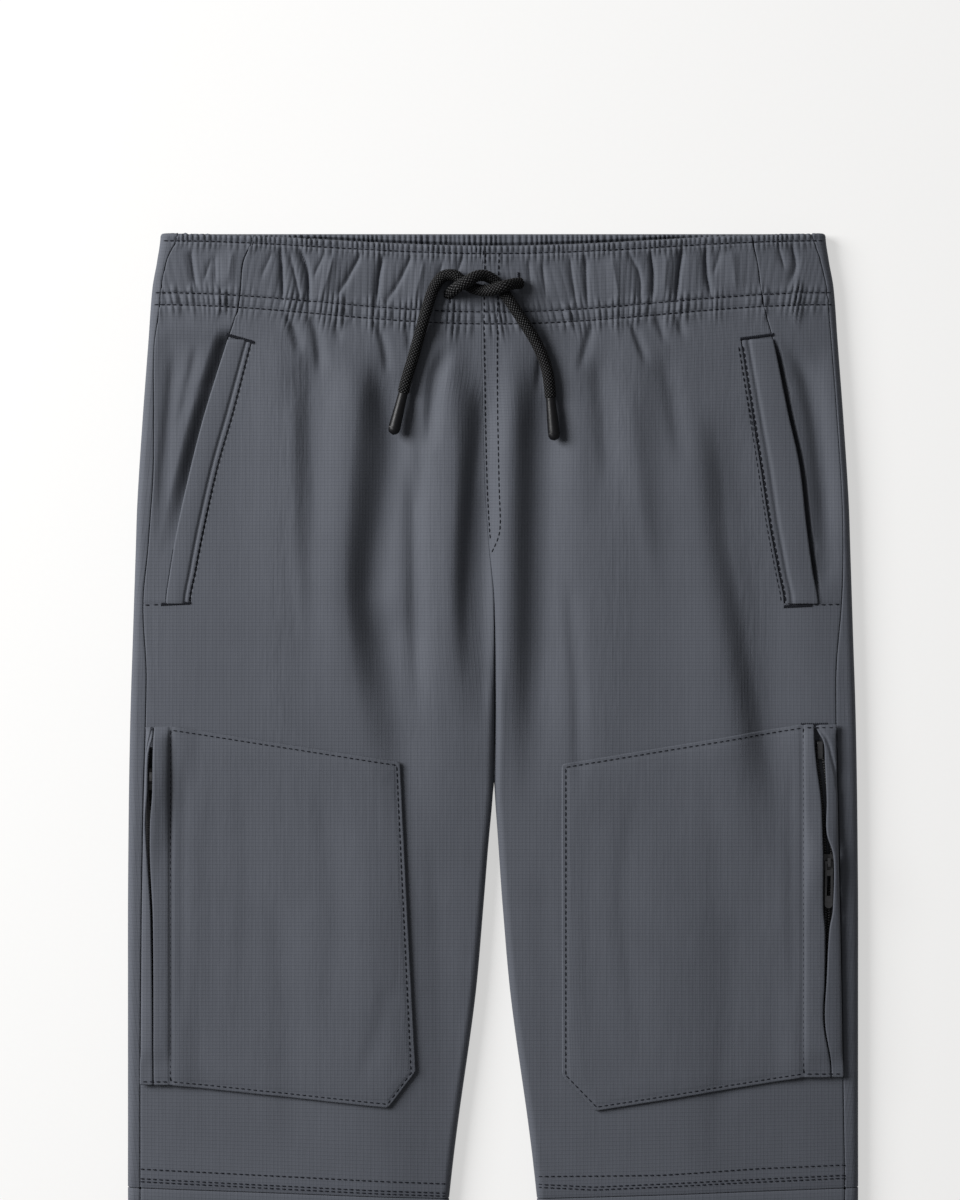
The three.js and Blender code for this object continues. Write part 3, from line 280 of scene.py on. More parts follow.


# %% Creases listed one by one
# Each crease: its height (a trough is negative), its width on each side, and its course as row and x
CHANNEL_CREASES = [
    (-1.0, 2.2, 1.0, (6, -134.2), (16, -133.2), (27, -131.6)),
    (-0.4, 1.6, 1.2, (11, -125.7), (23, -128.6)),
    (-0.5, 1.8, 1.2, (8, -123.4), (24, -123)),
    (-0.4, 1.8, 1.5, (6, -98.6), (20, -103)),
    (-1.2, 2.0, 0.9, (3, -94.3), (15, -93.6), (31, -93.3)),
    (-0.7, 1.8, 1.0, (4, -90.6), (16, -87.9), (31, -85.2)),
    (-1.5, 2.4, 0.9, (2, -86), (14, -82.3), (34, -82)),
    (-0.5, 1.5, 1.3, (6, -75.6), (18, -79.8)),
    (-0.9, 2.2, 1.1, (3, -58.6), (14, -63.5), (28, -70.6)),
    (-1.3, 2.2, 1.0, (4, -49), (15, -50.7), (31, -52)),
    (-0.8, 2.0, 1.1, (3, -36.4), (15, -41.3), (29, -49)),
    (-0.6, 2.0, 1.2, (6, -22.4), (24, -28.2)),
    (-0.5, 1.8, 1.2, (3, -13.4), (17, -17.2)),
    (-0.5, 1.8, 1.3, (5, 15.8), (20, 17)),
    (-0.6, 2.0, 1.2, (6, 22), (24, 23.7)),
    (-0.7, 2.2, 1.2, (4, 34.4), (28, 37.1)),
    (-0.9, 2.0, 1.0, (3, 41.2), (29, 42)),
    (-0.8, 2.4, 1.1, (3, 60.4), (14, 65.2), (30, 65.4)),
    (-1.3, 2.0, 1.0, (3, 70.1), (15, 71.3), (31, 70.7)),
    (-1.4, 2.2, 1.0, (2, 84.2), (16, 82.6), (31, 81.2)),
    (-1.3, 2.0, 0.9, (2, 94.5), (17, 95.2), (30, 97.6)),
    (-0.5, 1.6, 1.4, (6, 100.6), (18, 98)),
    (-0.9, 2.2, 1.1, (3, 132.8), (14, 134.6), (25, 131.7)),
    (-0.6, 1.8, 1.2, (3, 126.8), (17, 129.4)),
    (0.5, 4, 4, (6, -116), (24, -118)),
    (0.6, 6, 3, (5, -71), (27, -76)),
    (0.5, 5, 3, (5, -31), (26, -35)),
    (0.6, 5, 4, (5, 53), (27, 56)),
    (0.5, 5, 4, (5, 77), (27, 76)),
    (0.5, 5, 4, (5, 106), (27, 108)),
]
HIP_CREASES = [
    (-1.0, 1.4, 2.6, (31, -92.4), (38, -89.6), (52, -86)),
    (-0.8, 1.6, 3.0, (31, -82), (40, -79), (62, -77)),
    (-0.7, 1.4, 2.4, (31, -52.5), (42, -49), (60, -47)),
    (-0.6, 1.4, 2.2, (31, -70.4), (44, -68.5)),
    (-0.5, 1.4, 2.2, (31, -38), (48, -37)),
    (-0.7, 1.5, 3.0, (31, 22.5), (48, 21), (70, 20)),
    (-0.6, 1.4, 2.4, (31, 44), (44, 41), (58, 38)),
    (-0.7, 1.4, 2.4, (31, 61), (42, 64), (56, 68)),
    (-0.6, 1.4, 2.2, (31, 82), (44, 84)),
    (-0.5, 1.4, 2.0, (31, 73), (46, 76)),
    (-2.6, 8.5, 11.5, (38, -56), (66, -49), (92, -45.5), (119, -48.5), (145, -52.5), (165, -53.5),
     (200, -48), (222, -44)),
    (-1.3, 3.0, 4.0, (40, -21), (60, -26), (100, -28)),
    (-2.3, 5.0, 8.5, (52, -4), (83, -5), (110, -7.5), (140, -10), (170, -11), (212, -10)),
    (-1.2, 9.0, 12.0, (160, -47), (210, -42.5), (266, -36)),
    (-2.9, 9.0, 15.0, (44, 20.5), (70, 20), (105, 19), (150, 18), (210, 17), (268, 16)),
    (-2.3, 8.0, 20.0, (70, 99), (110, 103), (136, 105), (163, 110), (190, 115), (215, 120), (280, 128)),
    (-0.7, 5.0, 12.0, (42, -80), (90, -80), (152, -77)),
    (-0.6, 3.5, 5.0, (46, 47), (80, 49), (120, 51)),
    (-0.5, 3.5, 5.0, (46, 76), (74, 80), (110, 84)),
    (-0.5, 3.0, 4.0, (50, -39), (90, -33), (130, -31)),
    (-1.2, 4.0, 5.0, (96, -35), (145, -35), (190, -34), (225, -32)),
    (-0.5, 3.0, 4.5, (150, 34), (200, 37), (260, 38)),
    (0.5, 4.0, 4.0, (60, -88), (120, -88), (190, -84)),
    (-0.9, 5.0, 4.0, (100, -1.5), (145, -2.5), (190, -3), (225, -4)),
    (0.4, 5.0, 5.0, (60, 60), (120, 66), (170, 72)),
]
LEG_CREASES = [
    (-0.5, 5, 8, (262, -26), (320, -24), (400, -22)),
    (-0.4, 6, 8, (270, 22), (330, 24), (410, 28)),
    (-0.5, 6, 9, (280, -96), (340, -92), (420, -90)),
    (-0.5, 6, 9, (290, 108), (350, 104), (424, 100)),
    (-0.5, 6, 10, (430, -70), (520, -66), (640, -72)),
    (-0.6, 5, 9, (450, -130), (540, -126), (620, -124)),
    (-0.5, 6, 10, (440, 62), (540, 70), (660, 76)),
    (-0.6, 5, 9, (470, 132), (560, 126), (640, 122)),
    (-0.5, 5, 7, (700, -112), (770, -108), (836, -104)),
    (-0.5, 5, 7, (690, 92), (760, 88), (836, 86)),
    (-0.4, 5, 7, (740, -68), (790, -70), (836, -74)),
    (-0.4, 5, 7, (750, 140), (800, 138), (836, 134)),
]


def crease_height(creases, x, row, sharp=False):
    """The sum of the creases. Across each is a bell curve, or for a sharp one e to minus the distance. Its two
    sides may differ in width, and it fades in and out along its course."""
    height = np.zeros(np.broadcast(x, row).shape)
    for rise, right, left, *course in creases:
        along = table("depth x", *course)
        start, end = along["depth"][0], along["depth"][-1]
        off = x - read(along, "x", row)
        fade = smoothstep(row, start, start + 0.2 * (end - start))
        fade = fade * (1 - smoothstep(row, mix(start, end, 0.6), end))
        far = np.abs(off) / np.where(off < 0, right, left)
        height = height + rise * fade * np.exp(-1.5 * far if sharp else -far * far)
    return height


STITCH_PITCH = 2.7


def stitch_groove(x, row):
    """Each row of sewing pulls the casing down along a narrow groove, with a small pucker at every stitch."""
    height = 0
    for line in (TOP_STITCH, CASING_STITCH, CASING_END):
        across = np.exp(-(((row - line) / 0.75) ** 2))
        height = height - across * (0.32 + 0.06 * np.cos(2 * np.pi * x / STITCH_PITCH))
    return height


def relief(x, row):
    """Everything that stands on the plain form of the cloth."""
    height = waist_pleats(x, row) + stitch_groove(x, row)
    height = height + 1.9 * crease_height(CHANNEL_CREASES, x, row, True)
    return height + 1.6 * crease_height(HIP_CREASES, x, row) + crease_height(LEG_CREASES, x, row)


def top_height(side, x, depth):
    """Height of the upper cloth of one leg with its relief, which dies out at the folded edges. The two hips
    are sewn together, so their inner edges keep theirs."""
    from_outer = side * (outer_edge(side, depth) - x)
    from_inner = side * (x - inner_edge(side, depth)) + 60 * (depth < 200)
    fade = smoothstep(np.minimum(from_outer, from_inner), 0, 6)
    return cloth_top(side, x, depth) + fade * relief(x, row_at(x, depth))


print("number of creases", len(CHANNEL_CREASES + HIP_CREASES + LEG_CREASES))

# %% [markdown]
# ## From a grid to a mesh
# A panel of cloth is one grid of points, with a row for each depth and a column across. Its edge is turned
# in as a maker turns a hem: half a circle down, and then back under the cloth. So every edge is round and
# has the cloth's real thickness, and yet the mesh is a single thin sheet, which keeps it light.

# %% Grids of cloth
CURL = np.radians([35, 70, 110, 145, 180])
EDGE = 0.5
HALF_GAP = 0.06


def unit(vector):
    return vector / np.maximum(np.linalg.norm(vector, axis=-1, keepdims=True), 1e-9)


def as_grid(side, x, depth, z, row=None, crinkle=0):
    """Nine numbers for each point: its place, its normal, its place on the flat cloth, and its crinkle."""
    x, depth, z = np.broadcast_arrays(x, depth, z)
    place = np.stack([x, LENGTH / 2 - depth, z], axis=-1).astype(float)
    normal = side * unit(np.cross(np.gradient(place, axis=0), np.gradient(place, axis=1)))
    # The pattern is laid on the plain form, so that it stays straight where small pleats end
    half = min(6, place.shape[1] - 1)
    padded = np.pad(place, ((0, 0), (half, half), (0, 0)), mode="reflect", reflect_type="odd")
    plain = np.lib.stride_tricks.sliding_window_view(padded, 2 * half + 1, axis=1).mean(axis=-1)
    step = np.linalg.norm(np.diff(plain, axis=1), axis=-1) * side
    run = np.concatenate([np.zeros((len(place), 1)), np.cumsum(step, axis=1)], axis=1)
    middle = place.shape[1] // 2
    u = run - run[:, middle:middle + 1] + x[:, middle:middle + 1]
    v = np.broadcast_to(depth if row is None else row, x.shape)
    rest = np.stack([u, v, np.broadcast_to(crinkle, x.shape)], axis=-1)
    return np.concatenate([place, normal, rest], axis=-1)


def turned_edge(grid, edge, radius, reach, step, pads):
    """The grid with a hem along one edge: half a circle, then the cloth's own rows again, 2 radii below.
    pads are the numbers of hem points already at the two ends of that edge, which get no hem of their own."""
    sideways = edge in ("start", "end")
    last = edge in ("bottom", "end")
    if sideways:
        grid = np.swapaxes(grid, 0, 1)
    if not last:
        grid = grid[::-1]
    line, normal = grid[-1], grid[-1, :, 3:6]
    inward = unit(grid[-3, :, :3] - line[:, :3])
    turn = CURL[:, None, None]
    curl = np.repeat(line[None], len(CURL), axis=0)
    curl[..., :3] = line[:, :3] - inward * radius * np.sin(turn) - normal * radius * (1 - np.cos(turn))
    curl[..., 3:6] = normal * np.cos(turn) - inward * np.sin(turn)
    ahead = unit(line[:, 6:8] - grid[-3, :, 6:8])
    curl[..., 6:8] = line[:, 6:8] + ahead * radius * turn
    lining = grid[-1 - step:-1 - reach - step:-step].copy()
    lining[..., :3] -= 2 * radius * lining[..., 3:6]
    lining[..., 6:8] = 2 * line[:, 6:8] - lining[..., 6:8] + ahead * radius * np.pi
    lining[..., 3:6] *= -1
    hem = np.concatenate([curl, lining])
    before, after = pads
    hem[:, :before] = line[:before]
    hem[:, hem.shape[1] - after:] = line[len(line) - after:]
    grid = np.concatenate([grid, hem])
    if not last:
        grid = grid[::-1]
    return np.swapaxes(grid, 0, 1) if sideways else grid


def hemmed(grid, start=None, end=None, top=None, bottom=None):
    """The grid with a hem at each named edge. A hem is its radius, its reach in points and its step."""
    pads = [0, 0]
    for place, edge, hem in ((0, "start", start), (1, "end", end)):
        if hem:
            before = grid.shape[1]
            grid = turned_edge(grid, edge, *hem, (0, 0))
            pads[place] = grid.shape[1] - before
    for edge, hem in (("top", top), ("bottom", bottom)):
        if hem:
            grid = turned_edge(grid, edge, *hem, pads)
    return grid


SEAM_HEM = (EDGE, 3, 1)

# %% Meshes
def quads(rows, columns, first, flip):
    """The four corners of each face of a grid, as numbers of points."""
    corner = (np.arange(rows - 1)[:, None] * columns + np.arange(columns - 1)).ravel() + first
    faces = np.stack([corner, corner + columns, corner + columns + 1, corner + 1], axis=1)
    return faces[:, ::-1] if flip else faces


def new_object(name, points, faces, uv=None, values=None):
    """An object at the origin from points in millimetres and faces with four corners each. Equal corners of a
    face are left out, so a face at a pole is a triangle."""
    ring = np.stack([faces, np.roll(faces, -1, axis=1)], axis=-1)
    keep = ring[..., 0] != ring[..., 1]
    count = keep.sum(axis=1)
    whole = count > 2
    keep, count, corners = keep[whole], count[whole], faces[whole]
    loops = corners[keep]
    mesh = bpy.data.meshes.new(name)
    mesh.vertices.add(len(points))
    mesh.vertices.foreach_set("co", (points * MM).astype(np.float32).ravel())
    mesh.loops.add(len(loops))
    mesh.loops.foreach_set("vertex_index", loops.astype(np.int32))
    mesh.polygons.add(len(count))
    mesh.polygons.foreach_set("loop_start", np.concatenate([[0], np.cumsum(count)[:-1]]).astype(np.int32))
    mesh.update(calc_edges=True)
    mesh.polygons.foreach_set("use_smooth", np.ones(len(count), bool))
    if uv is not None:
        layer = mesh.uv_layers.new(name="cloth")
        layer.data.foreach_set("uv", (uv[loops] * MM).astype(np.float32).ravel())
    for label, value in (values or {}).items():
        attribute = mesh.attributes.new(label, "FLOAT", "POINT")
        attribute.data.foreach_set("value", np.broadcast_to(value, len(points)).astype(np.float32))
    piece = bpy.data.objects.new(name, mesh)
    bpy.context.scene.collection.objects.link(piece)
    return piece


def cloth_object(name, side, *grids):
    """One object from one or more grids. Points of two grids that fall together are made one."""
    points, faces, first = [], [], 0
    for grid in grids:
        rows, columns = grid.shape[:2]
        faces.append(quads(rows, columns, first, side == RIGHT))
        points.append(grid.reshape(-1, 9))
        first += rows * columns
    points, faces = np.concatenate(points), np.concatenate(faces)
    if len(grids) > 1:
        places = np.round(points[:, :3], 4)
        _, kept, number = np.unique(places, axis=0, return_index=True, return_inverse=True)
        points, faces = points[kept], number.ravel()[faces]
    return new_object(name, points[:, :3], faces, points[:, 6:8], {"crinkle": points[:, 8]})


cloth = {}


def area_of(piece):
    return sum(face.area for face in piece.data.polygons)


def belongs(piece, slot, *nodes, body="trousers"):
    """The piece rides on a body and stands for the nodes that are named. slot is not used."""
    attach(piece, body)
    if nodes:
        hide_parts(*nodes)


def is_cloth(piece, node, area, rests_on=()):
    """States what the piece stands for, and the flat size of its cut in metres."""
    belongs(piece, "ripstop", node)
    cloth[node] = piece
    print(piece.name, "faces", len(piece.data.polygons), "cloth", round(area_of(piece), 4), "of", area, "m2")


# %% [markdown]
# ## The drawcord
# It is a 5 mm round braid. Its two ends come out of the casing, are tied once over the fly and hang down the
# front. Each ends in a moulded tip. The route of each is given as in the CAD model, in metres, with
# how far the cord is lifted off the cloth where it crosses the other end.

# %% Route of the drawcord
CORD = 5.0
CORD_ROUTES = {
    "right": [
        (0.013, 0.0222, 0.0003), (0.009, 0.023, 0.0029), (0.004, 0.0246, 0.006), (-0.001, 0.0258, 0.004),
        (-0.0064, 0.0256, 0.0008), (-0.012, 0.0229, 0.0003), (-0.0168, 0.0192, 0.0003),
        (-0.022, 0.0194, 0.0003), (-0.026, 0.0242, 0.0003), (-0.0284, 0.031, 0.0003),
        (-0.0308, 0.039, 0.0003), (-0.035, 0.054, 0.0003), (-0.0386, 0.066, 0.0003), (-0.0406, 0.074, 0.0003),
    ],
    "left": [
        (-0.0216, 0.0286, 0.0003), (-0.0176, 0.0258, 0.003), (-0.0124, 0.0228, 0.006),
        (-0.0072, 0.0198, 0.0044), (-0.0018, 0.0198, 0.0012), (0.0028, 0.0238, 0.0003),
        (0.0064, 0.029, 0.0003), (0.0134, 0.0396, 0.0003), (0.0194, 0.0494, 0.0003),
        (0.0238, 0.0606, 0.0003), (0.0258, 0.076, 0.0003),
    ],
}


def through(points, count):
    """A centripetal Catmull-Rom curve through the points, at even steps of its length."""
    padded = np.concatenate([[2 * points[0] - points[1]], points, [2 * points[-1] - points[-2]]])
    knots = np.concatenate([[0], np.cumsum(np.linalg.norm(np.diff(padded, axis=0), axis=1) ** 0.5)])
    time = np.linspace(knots[1], knots[-2], 20 * count)
    i = np.clip(np.searchsorted(knots, time, side="right") - 1, 1, len(points) - 1)
    t = time[:, None]
    k0, k1, k2, k3 = (knots[i + shift][:, None] for shift in (-1, 0, 1, 2))
    p0, p1, p2, p3 = (padded[i + shift] for shift in (-1, 0, 1, 2))
    a = ((k1 - t) * p0 + (t - k0) * p1) / (k1 - k0)
    b = ((k2 - t) * p1 + (t - k1) * p2) / (k2 - k1)
    c = ((k3 - t) * p2 + (t - k2) * p3) / (k3 - k2)
    d = ((k2 - t) * a + (t - k0) * b) / (k2 - k0)
    e = ((k3 - t) * b + (t - k1) * c) / (k3 - k1)
    fine = ((k2 - t) * d + (t - k1) * e) / (k2 - k1)
    run = np.concatenate([[0], np.cumsum(np.linalg.norm(np.diff(fine, axis=0), axis=1))])
    even = np.linspace(0, run[-1], count)
    return np.stack([np.interp(even, run, fine[:, axis]) for axis in range(3)], axis=1)


def bed_under(x, depth, reach):
    """The highest cloth below a round thing that is 2 reaches wide."""
    side = np.where(x < inner_edge(LEFT, depth), RIGHT, LEFT)
    highest = 0
    for dx, dy in ((0, 0), (1, 0), (-1, 0), (0, 1), (0, -1), (1, 1), (-1, 1)):
        places = (x + reach * dx, depth + reach * dy)
        left, right = top_height(LEFT, *places), top_height(RIGHT, *places)
        highest = np.maximum(highest, np.where(side == LEFT, left, right))
    return highest


def cord_line(route):
    """The middle of the cord: its route, laid on the highest cloth below it and lifted as the route says."""
    plan = through(np.array(route) / MM, 79)
    bed = bed_under(plan[:, 0], plan[:, 1], 0.45 * CORD)
    window = np.lib.stride_tricks.sliding_window_view(np.pad(bed, 3, mode="edge"), 7).max(axis=1)
    height = window + plan[:, 2] + CORD / 2
    line = np.stack([plan[:, 0], LENGTH / 2 - plan[:, 1], height], axis=1)
    return through(line[::4], BRAID_RINGS)


def tube(line, radius, around):
    """Rings of points about a line, each square to it. radius has a row for each point of the line and a
    column for each point of a ring, and a ring of radius 0 closes each end."""
    ahead = unit(np.gradient(line, axis=0))
    beside = unit(np.cross(ahead, [0, 0, 1]))
    up = np.cross(beside, ahead)
    angle = np.linspace(0, 2 * np.pi, around, endpoint=False)
    ring = np.cos(angle)[:, None] * beside[:, None] + np.sin(angle)[:, None] * up[:, None]
    return line[:, None] + ring * np.broadcast_to(radius, (len(line), around))[..., None]


def tube_faces(rings, around, copies=1):
    """The faces of one or more equal tubes, each ring joined to the next."""
    i, j = np.meshgrid(np.arange(rings - 1), np.arange(around), indexing="ij")
    a, b = i * around + j, i * around + (j + 1) % around
    faces = np.stack([a, b, b + around, a + around], axis=-1).reshape(-1, 4)
    first = np.arange(copies)[:, None, None] * rings * around
    return (faces[None] + first).reshape(-1, 4)


BRAID_SIDES, BRAID_RINGS, BRAID_PITCH, STRANDS = 56, 420, 7.2, 10


def braid_ridge(run, around):
    """Two families of strands wind in opposite ways. Each is a row of round ridges, and they take turns to be
    on top."""
    angle = np.linspace(0, 2 * np.pi, around, endpoint=False)[None]
    along = np.pi * run[:, None] / BRAID_PITCH * STRANDS / 2
    one = STRANDS / 2 * angle + along
    other = STRANDS / 2 * angle - along
    turn = 0.5 + 0.5 * np.tanh(3 * np.cos(one) * np.cos(other))
    return turn * np.abs(np.cos(one)) ** 0.8 + (1 - turn) * np.abs(np.cos(other)) ** 0.8


def end_round(run, length, radius):
    """0 at both ends of a cord and 1 along it, so that its ends are round."""
    edge = np.minimum(run, length - run)
    return np.sqrt(np.clip(1 - (1 - np.clip(edge / radius, 0, 1)) ** 2, 0, 1))


EYELET_SINK = {"right": 1.6, "left": 7.4}
cords, cord_paths = {}, {}
for end, route in CORD_ROUTES.items():
    line = cord_line(route)
    run = np.linspace(0, np.linalg.norm(np.diff(line, axis=0), axis=1).sum(), len(line))
    # The start sinks into the eyelet, from which the cord comes
    line[:, 2] -= EYELET_SINK[end] * (1 - smoothstep(run, 0, 9))
    ridge = braid_ridge(run, BRAID_SIDES)
    radius = (CORD / 2 - 0.55 + 0.7 * ridge) * end_round(run, run[-1], 1.2)[:, None]
    points = tube(line, radius, BRAID_SIDES)
    uv = np.stack(np.broadcast_arrays(run[:, None], np.arange(BRAID_SIDES)), axis=-1).reshape(-1, 2)
    cords[end] = new_object("drawcord_" + end + "_braid", points.reshape(-1, 3),
                            tube_faces(len(line), BRAID_SIDES)[:, ::-1], uv, {"ridge": ridge.ravel()})
    cord_paths[end] = line
    print("cord", end, "length", round(run[-1], 1), "mm")

# %% [markdown]
# ## The panels
# Front, back, pocket facing and welt are cut to the seams of the CAD model. Columns run from the inner leg
# outwards. Where the cloth rolls over a folded edge, equal steps along the roll keep it round.

# %% Rows and rolls
WELT_TOP, HIPS_END, WELT_END, CUFF_DEPTH = 46, 164.4, 164.7, 838
QUARTER = ROLL * (np.pi / 2 - 1)
INSET = HALF_GAP + EDGE
# Close rows where the casing is pleated and sewn, and wider ones down the channel of the cord
CASING_ROWS = np.concatenate([
    [1.1, 1.5, 1.9, 2.4, 2.9, 3.3, 3.7, 4.3, 5, 5.8], np.arange(6.8, 23, 1.05),
    [23.6, 24.6, 25.5, 26, 26.4, 26.8, 27.4, 28.3, 29.3, 30.4, 31.1, 31.7, 32.3, 33, 34.2, 35.6, 37.2, 39],
    [41, 43.4, WELT_TOP],
])
HIP_ROWS = np.linspace(WELT_TOP, HIPS_END, 50)
THIGH_ROWS = np.linspace(HIPS_END, KNEE_DEPTH - HALF_GAP - EDGE, 64)
SHIN_ROWS = np.linspace(KNEE_DEPTH + HALF_GAP + EDGE, CUFF_DEPTH - HALF_GAP - EDGE, 90)


def roll_in(arc):
    """How far inwards an arc over a rolled edge reaches: R (1 - cos(arc / R)), then straight on."""
    return np.where(arc < ROLL * np.pi / 2, ROLL * (1 - np.cos(arc / ROLL)), arc - QUARTER)


def arc_of(distance):
    """The arc that reaches a distance inwards, the other way round."""
    turned = ROLL * np.arccos(np.clip(1 - distance / ROLL, 0, 1))
    return np.where(distance < ROLL, turned, distance + QUARTER)


def crinkled(x, depth):
    """How finely crinkled the cloth is: most in the folds and below the gathers, least on the flat legs."""
    folds = 0.5 * np.clip(wander(x + 0.05 * depth, 11, 3), 0, 1) * (1 - smoothstep(depth, 150, 320))
    return 0.25 + folds + 0.35 * smoothstep(depth, 30, 45) * (1 - smoothstep(depth, 60, 110))


def from_inner(side, row, columns, boundary):
    """Places across a row from the inner edge to a boundary, and their depths, which are those of the row."""
    row = row[:, None]
    edge = inner_edge(side, row)
    edge = inner_edge(side, row + front_shift(edge, row))
    width = np.abs(boundary(side, row) - edge) - INSET
    arc = mix(INSET, width + QUARTER, np.linspace(0, 1, columns)[None])
    x = edge + side * roll_in(arc)
    return x, row + front_shift(x, row)


# %% Fronts
FRONT_COLUMNS = 320
TOP_HEM = (1.1, 24, 3)


def front_block(side, rows, boundary, outer_columns, meets=None):
    """Columns up to the welt's line, or to the same share of the way where there is none, and then, past it,
    outer_columns more up to the boundary. meets gives the row of x that the first or last row shares."""
    row = rows[:, None]
    share = 1
    if outer_columns:
        # The row where the casing or the thigh meets the hips
        at = rows[-1] if rows[0] < 2 else rows[0]
        share = np.abs(welt_line(side, at) / boundary(side, at))
    x, _ = from_inner(side, rows, FRONT_COLUMNS, lambda s, r: boundary(s, r) * share)
    if meets is not None:
        x[meets[0]] = meets[1]
    if outer_columns:
        outer = boundary(side, row) - side * INSET
        x = np.concatenate([x, mix(x[:, -1:], outer, np.linspace(0, 1, outer_columns + 1)[None, 1:])], axis=1)
    depth = row + front_shift(x, row)
    return as_grid(side, x, depth, top_height(side, x, depth), row, crinkled(x, depth)), x


def front_grids(side):
    """Casing, hips and thigh. The hips end at the welt, and the other two carry on past it."""
    hips, x = front_block(side, HIP_ROWS, welt_line, 0)
    casing, _ = front_block(side, CASING_ROWS, pocket_mouth, 26, (-1, x[0]))
    thigh, _ = front_block(side, THIGH_ROWS, side_seam, 30, (0, x[-1]))
    sides = {"start": SEAM_HEM, "end": SEAM_HEM}
    return hemmed(casing, top=TOP_HEM, **sides), hemmed(hips, **sides), hemmed(thigh, bottom=SEAM_HEM, **sides)


for side, end in SIDES.items():
    piece = cloth_object("front_" + end + "_cloth", side, *front_grids(side))
    is_cloth(piece, "front_" + end, 0.0635)

# %% [markdown]
# ## Facing and welt of the hand pocket
# The facing is the cloth that is seen in the mouth of the pocket. It sinks below the mouth, so the edge of
# the welt throws a shadow on it. The welt is the stitched band along the mouth, a little thicker than the
# front.

# %% Facings and welts
FACING_SINK, FACING_TUCK, WELT_RISE = 2.4, 5, 0.6
POCKET_ROWS = np.linspace(48, WELT_END - INSET, 60)
FACING_CREASES = {
    RIGHT: [(-0.9, 2.5, 4, (46, -141), (60, -142), (100, -146), (140, -148)),
            (-0.6, 2, 3, (48, -132), (70, -136), (92, -140))],
    LEFT: [(-1.9, 4, 5.5, (44, 130), (60, 137.5), (78, 142), (110, 146), (143, 148), (158, 149))],
}
# The rows between which a mouth opens, those between which it closes, and how far it gapes
MOUTH = {RIGHT: ((42, 49), (100, 146), 7), LEFT: ((46, 58), (148, 161), 3)}


def facing_height(side, x, depth):
    """The cloth's own height less a trough that is deepest under the mouth of the pocket."""
    opens, closes, gape = MOUTH[side]
    sink = smoothstep(depth, *opens) * (1 - smoothstep(depth, *closes))
    from_seam = side * (side_seam(side, depth) - x)
    from_mouth = side * (x - pocket_mouth(side, depth))
    by_seam = 0.35 * FACING_SINK * smoothstep(from_seam, 0, 8)
    under_welt = (0.65 * FACING_SINK + 2.3) * (1 - smoothstep(from_mouth, -0.5, gape))
    height = top_height(side, x, depth) - sink * (by_seam + under_welt)
    return height + crease_height(FACING_CREASES[side], x, depth)


def facing_grid(side):
    rows = np.concatenate([CASING_ROWS, POCKET_ROWS])[:, None]
    tuck = FACING_TUCK * smoothstep(rows, 65, 75) * (1 - smoothstep(rows, 134, 141))
    start = pocket_mouth(side, rows) - side * tuck + side * INSET
    x = mix(start, side_seam(side, rows) - side * INSET, np.linspace(0, 1, 84)[None])
    depth = rows + waist_dip(x, rows)
    return as_grid(side, x, depth, facing_height(side, x, depth), rows, 0.4)


def welt_grid(side):
    rows = np.linspace(WELT_TOP + INSET, WELT_END - INSET, 66)[:, None]
    share = np.linspace(0, 1, 26)[None]
    x = mix(welt_line(side, rows) + side * INSET, pocket_mouth(side, rows) - side * EDGE, share)
    depth = rows + waist_dip(x, rows)
    # The band is raised to its edge, with a groove under its sewing
    groove = 0.6 * np.exp(-(((share - 0.19) / 0.06) ** 2))
    height = cloth_top(side, x, depth) + WELT_RISE * share + 0.25 + 0.3 * np.sin(np.pi * share) - groove
    return as_grid(side, x, depth, height, rows, 0.3)


for side, end in SIDES.items():
    facing = hemmed(facing_grid(side), start=SEAM_HEM, end=SEAM_HEM, top=TOP_HEM, bottom=SEAM_HEM)
    piece = cloth_object("side_facing_" + end + "_cloth", side, facing)
    is_cloth(piece, "side_facing_" + end, 0.0062)
    welt = hemmed(welt_grid(side), start=SEAM_HEM, end=(0.6, 6, 2), top=SEAM_HEM, bottom=SEAM_HEM)
    piece = cloth_object("pocket_welt_" + end + "_cloth", side, welt)
    is_cloth(piece, "pocket_welt_" + end, 0.0028, rests_on=["front_" + end + "_cloth"])

# %% [markdown]
# ## Backs
# The back starts at the side seam on the upper side, turns round the outer edge and lies flat on the table.
# Its casing is folded over too, and in the dip of the front's waist its gathered inner side is seen.

# %% Backs
BACK_ROWS = np.concatenate([
    CASING_ROWS, np.linspace(50, HIPS_END, 20), np.linspace(171, KNEE_DEPTH - INSET, 30),
])
LINING_ROWS, BACK_ON_TOP = 20, 12


def round_the_edge(side, rows, on_top, below):
    """Places from the side seam over the outer edge and under the leg to its inner edge, with equal steps."""
    rows = rows[:, None]
    outer = outer_edge(side, rows)
    inner = inner_edge(side, rows)
    inner = inner_edge(side, rows + knee_slant(inner, rows))
    # Above the crotch the two backs meet, so that no light comes up between them
    inner = inner - side * BACK_LAP * (1 - smoothstep(rows, 238, 248))
    width = np.abs(outer - inner)
    first = -arc_of(np.abs(outer - side_seam(side, rows))) + INSET
    last = width + 2 * QUARTER - INSET
    on_top, below = np.linspace(1, 0, on_top + 1)[None, :-1], np.linspace(0, 1, below)[None]
    arc = np.concatenate([first * on_top, last * below], axis=1)
    over = roll_in(np.abs(arc))
    under = np.where(arc < width / 2, over, width - roll_in(np.maximum(width + 2 * QUARTER - arc, 0)))
    x = outer - side * np.where(arc < 0, over, under)
    depth = rows + knee_slant(x, rows)
    return x, depth, arc


